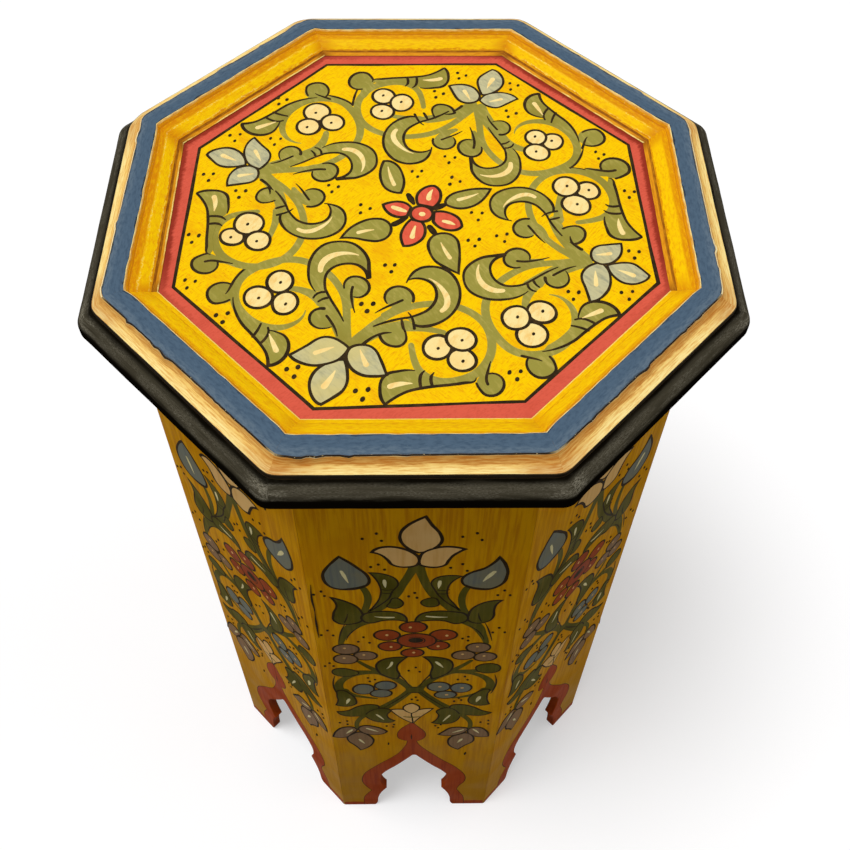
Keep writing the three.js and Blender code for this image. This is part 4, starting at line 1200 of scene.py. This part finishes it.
def top_board():
    profile = []
    for k in range(6):
        angle = k / 5 * math.pi / 2
        profile.append((ROUND_UNDER * (1 - math.sin(angle)),
                        BOARD_UNDER + ROUND_UNDER * (1 - math.cos(angle))))
    for k in range(13):
        angle = k / 12 * math.pi / 2
        profile.append((ROUND_TOP * (1 - math.cos(angle)), PANEL - ROUND_TOP * (1 - math.sin(angle))))
    top = len(profile) - 1
    points, grain, wear, faces = [], [], [], []
    for level, (inset, height) in enumerate(profile):
        apothem, radius = RIM - inset, CORNER_ROUND - inset
        straight, centre = (apothem - radius) * MITRE, (apothem - radius) * REACH
        calm = min(1.0, (level + 1) / 4) * (1 if level < top else 0.3)
        for side in range(SIDES):
            middle = -math.pi / 2 + side * TURN
            c, s = math.cos(middle), math.sin(middle)
            spots = []
            for k in range(ALONG_SIDE):
                off = (2 * k / ALONG_SIDE - 1) * straight
                spots.append((apothem * c - off * s, apothem * s + off * c, straight - abs(off)))
            turn = middle + TURN / 2
            for k in range(ALONG_CORNER):
                angle = middle + k / ALONG_CORNER * TURN
                spots.append((centre * math.cos(turn) + radius * math.cos(angle),
                              centre * math.sin(turn) + radius * math.sin(angle), 0.0))
            for x, y, from_corner in spots:
                sway = (0.16 * drift(x, y, 2, 22) + 0.07 * drift(x, y, 3 + level, 6) - 0.2) * calm
                points.append((x * (1 + sway / RIM), y * (1 + sway / RIM), height))
                grain.append((math.atan2(y, x) * RIM, 3.0 * level, side * 3.3))
                wear.append((level / top, from_corner * MM, 0))
    around = SIDES * (ALONG_SIDE + ALONG_CORNER)
    for a in range(0, top * around, around):
        for i in range(around):
            j = (i + 1) % around
            faces.append((a + i, a + j, a + around + j, a + around + i))
    faces.append(tuple(range(around - 1, -1, -1)))
    faces.append(tuple(range(top * around, (top + 1) * around)))
    which = [0] * (len(faces) - 2) + [1, 0]
    piece("round_edged_board", points, faces, [edge_paint, bare_wood], which, grain, wear, 40,
          ["top_board"])


top_board()


# ---------- the frame mouldings
COVE_WIDTH, COVE_DROP = 5.7, 4.3
FLAT_WIDTH = 9.0
QUIRK_WIDTH, QUIRK_DROP = 1.5, 2.4
SLOPE_WIDTH, SLOPE_DROP, SLOPE_BULGE = 6.8, 3.9, 0.8
LIP_WIDTH = 2.6


def frame_profile():
    """The moulding's section from its outer foot over the top to its inner foot, as rows of
    (distance from the axis, height, band), with eased arrises. Each band ends in a row close to
    the next one."""
    top = FRAME_TOP
    cove_top = top - 0.6
    cove_foot = cove_top - COVE_DROP
    cove_out = FRAME_OUT - 0.3
    cove_in = cove_out - COVE_WIDTH
    flat_out = cove_in - 0.2
    flat_in = flat_out - FLAT_WIDTH
    slope_out = flat_in - QUIRK_WIDTH
    slope_in = slope_out - SLOPE_WIDTH
    slope_top = top - QUIRK_DROP
    slope_foot = slope_top - SLOPE_DROP
    inner = slope_in - LIP_WIDTH
    hollow = (cove_in + COVE_WIDTH * 0.18, cove_foot + COVE_DROP * 0.18)
    bulge = ((slope_out + slope_in) / 2, (slope_top + slope_foot) / 2 + SLOPE_BULGE)
    cove = list(quadratic((cove_out, cove_foot), hollow, (cove_in, cove_top), 9))[:-1]
    quirk = list(quadratic((flat_in - 0.25, top - 0.2), (flat_in - 0.5, top - 1.8), (slope_out, slope_top),
                           4))[:-1]
    slope = list(quadratic((slope_out, slope_top), bulge, (slope_in, slope_foot), 7))[:-1]
    bands = {"foot": [(FRAME_OUT, FRAME_UNDER), (FRAME_OUT, cove_foot - 0.2),
                      (FRAME_OUT - 0.15, cove_foot)],
             "cove": [(cove_out, cove_foot + 0.02)] + cove + [(cove_in + 0.1, cove_top - 0.15)],
             "step": [(cove_in - 0.05, cove_top + 0.1), (flat_out - 0.15, top - 0.08)],
             "blue": [(flat_out - 0.45 - 8.15 * k / 5, top) for k in range(6)],
             "quirk": [(flat_in + 0.25, top - 0.02), (flat_in, top - 0.08)] + quirk,
             "slope": [(slope_out, slope_top)] + slope,
             "lip": [(slope_in, slope_foot), (slope_in - 0.3, slope_foot - 0.1),
                     (slope_in - 1.3, slope_foot - 0.5), (inner + 0.3, FRAME_UNDER + 0.25),
                     (inner, FRAME_UNDER + 0.1), (inner, FRAME_UNDER)]}
    rows = [(x, z, band) for band, spots in bands.items() for x, z in spots]
    full = rows[:1]
    for near, far in zip(rows, rows[1:]):
        if far[2] != near[2]:
            back = 0.02 / math.dist(near[:2], far[:2])
            full.append((far[0] + (near[0] - far[0]) * back, far[1] + (near[1] - far[1]) * back, near[2]))
        full.append(far)
    return full


# How far out the step and the arris over the slope are, at the two ends of each length
SHIFTED = (((0.9, 0.2), (0.5, 0.2)), ((-0.5, -0.7), (-0.6, -0.7)), ((-0.2, 0.7), (-0.05, 0.8)),
           ((0.0, 0.2), (-0.05, 0.25)), ((-0.7, -0.7), (0.45, -0.1)), ((1.0, 1.4), (1.6, 1.5)),
           ((-0.6, 1.9), (0.5, 1.65)), ((0.5, 0.1), (0.2, -0.5)))
SHALLOW, LESS_DEEP = 5, 1.7     # the length with a shallower cove, and how much less it falls
CHIPPED = range(2, 7)           # the lengths whose step is rubbed through, and whose lip is brown
# How worn the paint of each length is, outside the blue and inside it
WEAR_OUT = (0.85, 0.8, 0.6, 0.5, 0.5, 0.5, 0.6, 0.62)
WEAR_IN = (0.5, 0.6, 0.9, 1.0, 0.9, 1.0, 1.0, 0.55)
CUTS = 60        # a length is as many strips long, and two narrow ones more at each end
NO_TOUCH = 0.005


def shifted(edge, number, share, from_mitre):
    """How far out an edge lies there. Close to the mitre it is drawn towards the next length's."""
    start, end = SHIFTED[number][edge]
    gap = SHIFTED[(number + 1) % SIDES][edge][0] - end if share > 0 else SHIFTED[number - 1][edge][1] - start
    return (start * (1 - share) + end * (1 + share)) / 2 + gap / 2 * max(0.0, 1 - from_mitre / 6) ** 2


def ramp(*values):
    """The least of the values, but not below 0."""
    return max(0.0, min(values))


def frame_moulding(number):
    rows = frame_profile()
    names = list(BANDS)
    cove_at, step_at, quirk_at, slope_at, lip_at = (next(r[0] for r in rows if r[2] == name)
                                                    for name in ("cove", "step", "quirk", "slope", "lip"))
    gone = [0.0]
    for (x0, z0, _), (x1, z1, _) in zip(rows, rows[1:]):
        gone.append(gone[-1] + math.hypot(x1 - x0, z1 - z0))
    first, last = {}, {}
    for name in names:
        own = [g for g, r in zip(gone, rows) if r[2] == name]
        first[name] = own[0]
        last[name] = min([g for g in gone if g > own[-1]], default=own[-1])
    shares = [-1, -0.99, -0.98] + [2 * cut / CUTS - 1 for cut in range(1, CUTS)] + [0.98, 0.99, 1]
    turn = Matrix.Rotation(number * TURN, 3, "Z")
    points, grain, wear, faces, which = [], [], [], [], []
    for (out, height, band), length in zip(rows, gone):
        inwards = (out - quirk_at) / (step_at - quirk_at)       # 1 at the step, 0 where the quirk starts
        on_step = ramp((cove_at - out) / (cove_at - step_at), inwards)
        on_arris = ramp(1.0, (step_at - out) / (step_at - quirk_at), (out - lip_at) / (slope_at - lip_at))
        for share in shares:
            from_end = 1 - abs(share)
            from_mitre = out * MITRE * from_end
            at = out + shifted(0, number, share, from_mitre) * on_step
            at += shifted(1, number, share, from_mitre) * on_arris
            at -= 0.7 * ramp(1 - at * MITRE * from_end / 5) ** 2 * ramp(1.0, inwards)
            x = share * (at * MITRE - NO_TOUCH)
            dent = 0.5 * drift(x, 5, number + 20, 2) + 8 * ramp(drift(x, 8, number + 20, 5) - 0.3)
            ragged = ramp(1 - abs(out - step_at) / 2) * dent
            ragged += ramp(1 - abs(out - quirk_at) / 2.5) * drift(x, 9, number + 30, 5)
            wander = 0.14 * drift(x, length * 3, number, 15) + 0.3 * ragged * min(1.0, 8 * from_end)
            sink = -abs(0.1 * drift(x, length * 2, number + 50, 12))
            if number == SHALLOW:
                sink += LESS_DEEP * ramp(1.0, (out - step_at) / (cove_at - step_at), from_mitre / 7)
            if height <= FRAME_UNDER:
                wander = sink = 0.0
            if out >= FRAME_OUT - 0.3:
                wander = -abs(wander)
            points.append(turn @ Vector((x, -(at + wander), height + sink)))
            grain.append((x + 300 * number, length, 0))
            across = (length - first[band]) / max(0.01, last[band] - first[band])
            wear.append((across, (at * MITRE - abs(x)) * MM,
                         (WEAR_OUT if out >= step_at else WEAR_IN)[number]))
    wide, end = len(shares), (len(rows) - 1) * len(shares)
    for level, (_, _, band) in enumerate(rows[:-1]):
        for a in range(level * wide, (level + 1) * wide - 1):
            faces.append((a, a + 1, a + 1 + wide, a + wide))
            which.append(names.index(band))
    faces += [(end + cut, end + cut + 1, cut + 1, cut) for cut in range(wide - 1)]
    faces += [tuple(range(0, end + 1, wide)), tuple(range(end + wide - 1, 0, -wide))]
    which += [len(names)] * (wide + 1)
    bands = dict(BANDS, step=chipped_step) if number in CHIPPED else dict(BANDS, lip=light_lip)
    piece(f"moulding_{number + 1}", points, faces, list(bands.values()) + [bare_wood], which,
          grain, wear, 38, [f"frame_moulding_{number + 1}"])


for number in range(SIDES):
    frame_moulding(number)

# ---------- solids that stay as they are, in better materials
for number in range(1, SIDES + 1):
    for node, material in ((f"glue_block_{number}", block_wood), (f"block_screw_{number}", screw_steel)):
        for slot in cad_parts[node].material_slots:
            slot.material = material


# ---------- floor, light and camera
def show(t, output, seen, lit):
    """Shows one shader to the camera and in reflections, and lights the object with the other."""
    path = t.node("ShaderNodeLightPath").outputs
    camera, glossy, through = (Wire(t, path[f"Is {kind} Ray"])
                               for kind in ("Camera", "Glossy", "Transmission"))
    shader = t.wire("ShaderNodeMixShader", {0: camera.most(glossy.most(through)), 1: lit, 2: seen})
    t.put(t.nodes[output].inputs[0], shader)


def grey(r, g, b):
    """Linear light, which isn't converted."""
    return [r, g, b, 1.0]


FLOOR_REACH = 9.0     # in metres
t = Finish("pale_floor", 0.1)
pale = t.wire("ShaderNodeAddShader", {0: t.wire("ShaderNodeBsdfDiffuse", {"Color": grey(0.62, 0.62, 0.63)}),
                                      1: t.wire("ShaderNodeEmission", {"Color": grey(1, 1, 1),
                                                                       "Strength": 0.42})})
show(t, "Material Output", pale, t.wire("ShaderNodeBsdfDiffuse", {"Color": grey(0.22, 0.22, 0.22)}))
floor_mesh = bpy.data.meshes.new("floor")
corners = [(x * FLOOR_REACH, y * FLOOR_REACH, 0) for x, y in ((-1, -1), (1, -1), (1, 1), (-1, 1))]
floor_mesh.from_pydata(corners, [], [(0, 1, 2, 3)])
floor_mesh.materials.append(t.material)
floor = linked("floor", floor_mesh)

world = bpy.data.worlds.new("studio")
bpy.context.scene.world = world
world.use_nodes = True
t = Tree(world.node_tree)
show(t, "World Output", t.wire("ShaderNodeBackground", {"Color": grey(1, 1, 1), "Strength": 1.0}),
     t.wire("ShaderNodeBackground", {"Color": grey(1.0, 0.985, 0.95), "Strength": 0.30}))

for name, strength, soft, towards in (("key", 1.98, 22, (0.24, 0.10, -1.0)),
                                      ("fill_left", 0.6, 60, (1.0, 0.05, -0.22)),
                                      ("fill_right", 0.6, 60, (-1.0, 0.05, -0.22))):
    lamp = bpy.data.lights.new(name, "SUN")
    lamp.energy = strength
    lamp.angle = math.radians(soft)
    linked(name, lamp).rotation_euler = Vector(towards).to_track_quat("-Z", "Y").to_euler()

# The camera as fitted to the photograph: x right, y down, in its frame of 850 by 850
PICTURE = 850
FOCAL = 1128.27
CENTRE_DOWN = 309.8
AZIMUTH, ELEVATION, ROLL = math.radians(-1.3327), math.radians(52.1035), math.radians(0.8969)
AIM = Vector((3.84, -59.64, FRAME_TOP)) * MM
DISTANCE = 453.6 * MM
back = Vector((math.sin(AZIMUTH) * math.cos(ELEVATION), -math.cos(AZIMUTH) * math.cos(ELEVATION),
               math.sin(ELEVATION)))
right = (-back).cross(Vector((0, 0, 1))).normalized()
up = right.cross(-back)
right, up = (math.cos(ROLL) * right + math.sin(ROLL) * up, math.cos(ROLL) * up - math.sin(ROLL) * right)
lens = bpy.data.cameras.new("camera")
lens.sensor_width = 36
lens.lens = FOCAL / PICTURE * lens.sensor_width
lens.shift_y = (CENTRE_DOWN - PICTURE / 2) / PICTURE
lens.clip_start = 0.01
camera = linked("camera", lens)
camera.matrix_world = Matrix((right, up, back)).transposed().to_4x4()
camera.location = AIM + back * DISTANCE
bpy.context.scene.camera = camera
bpy.context.scene.view_settings.view_transform = "Standard"
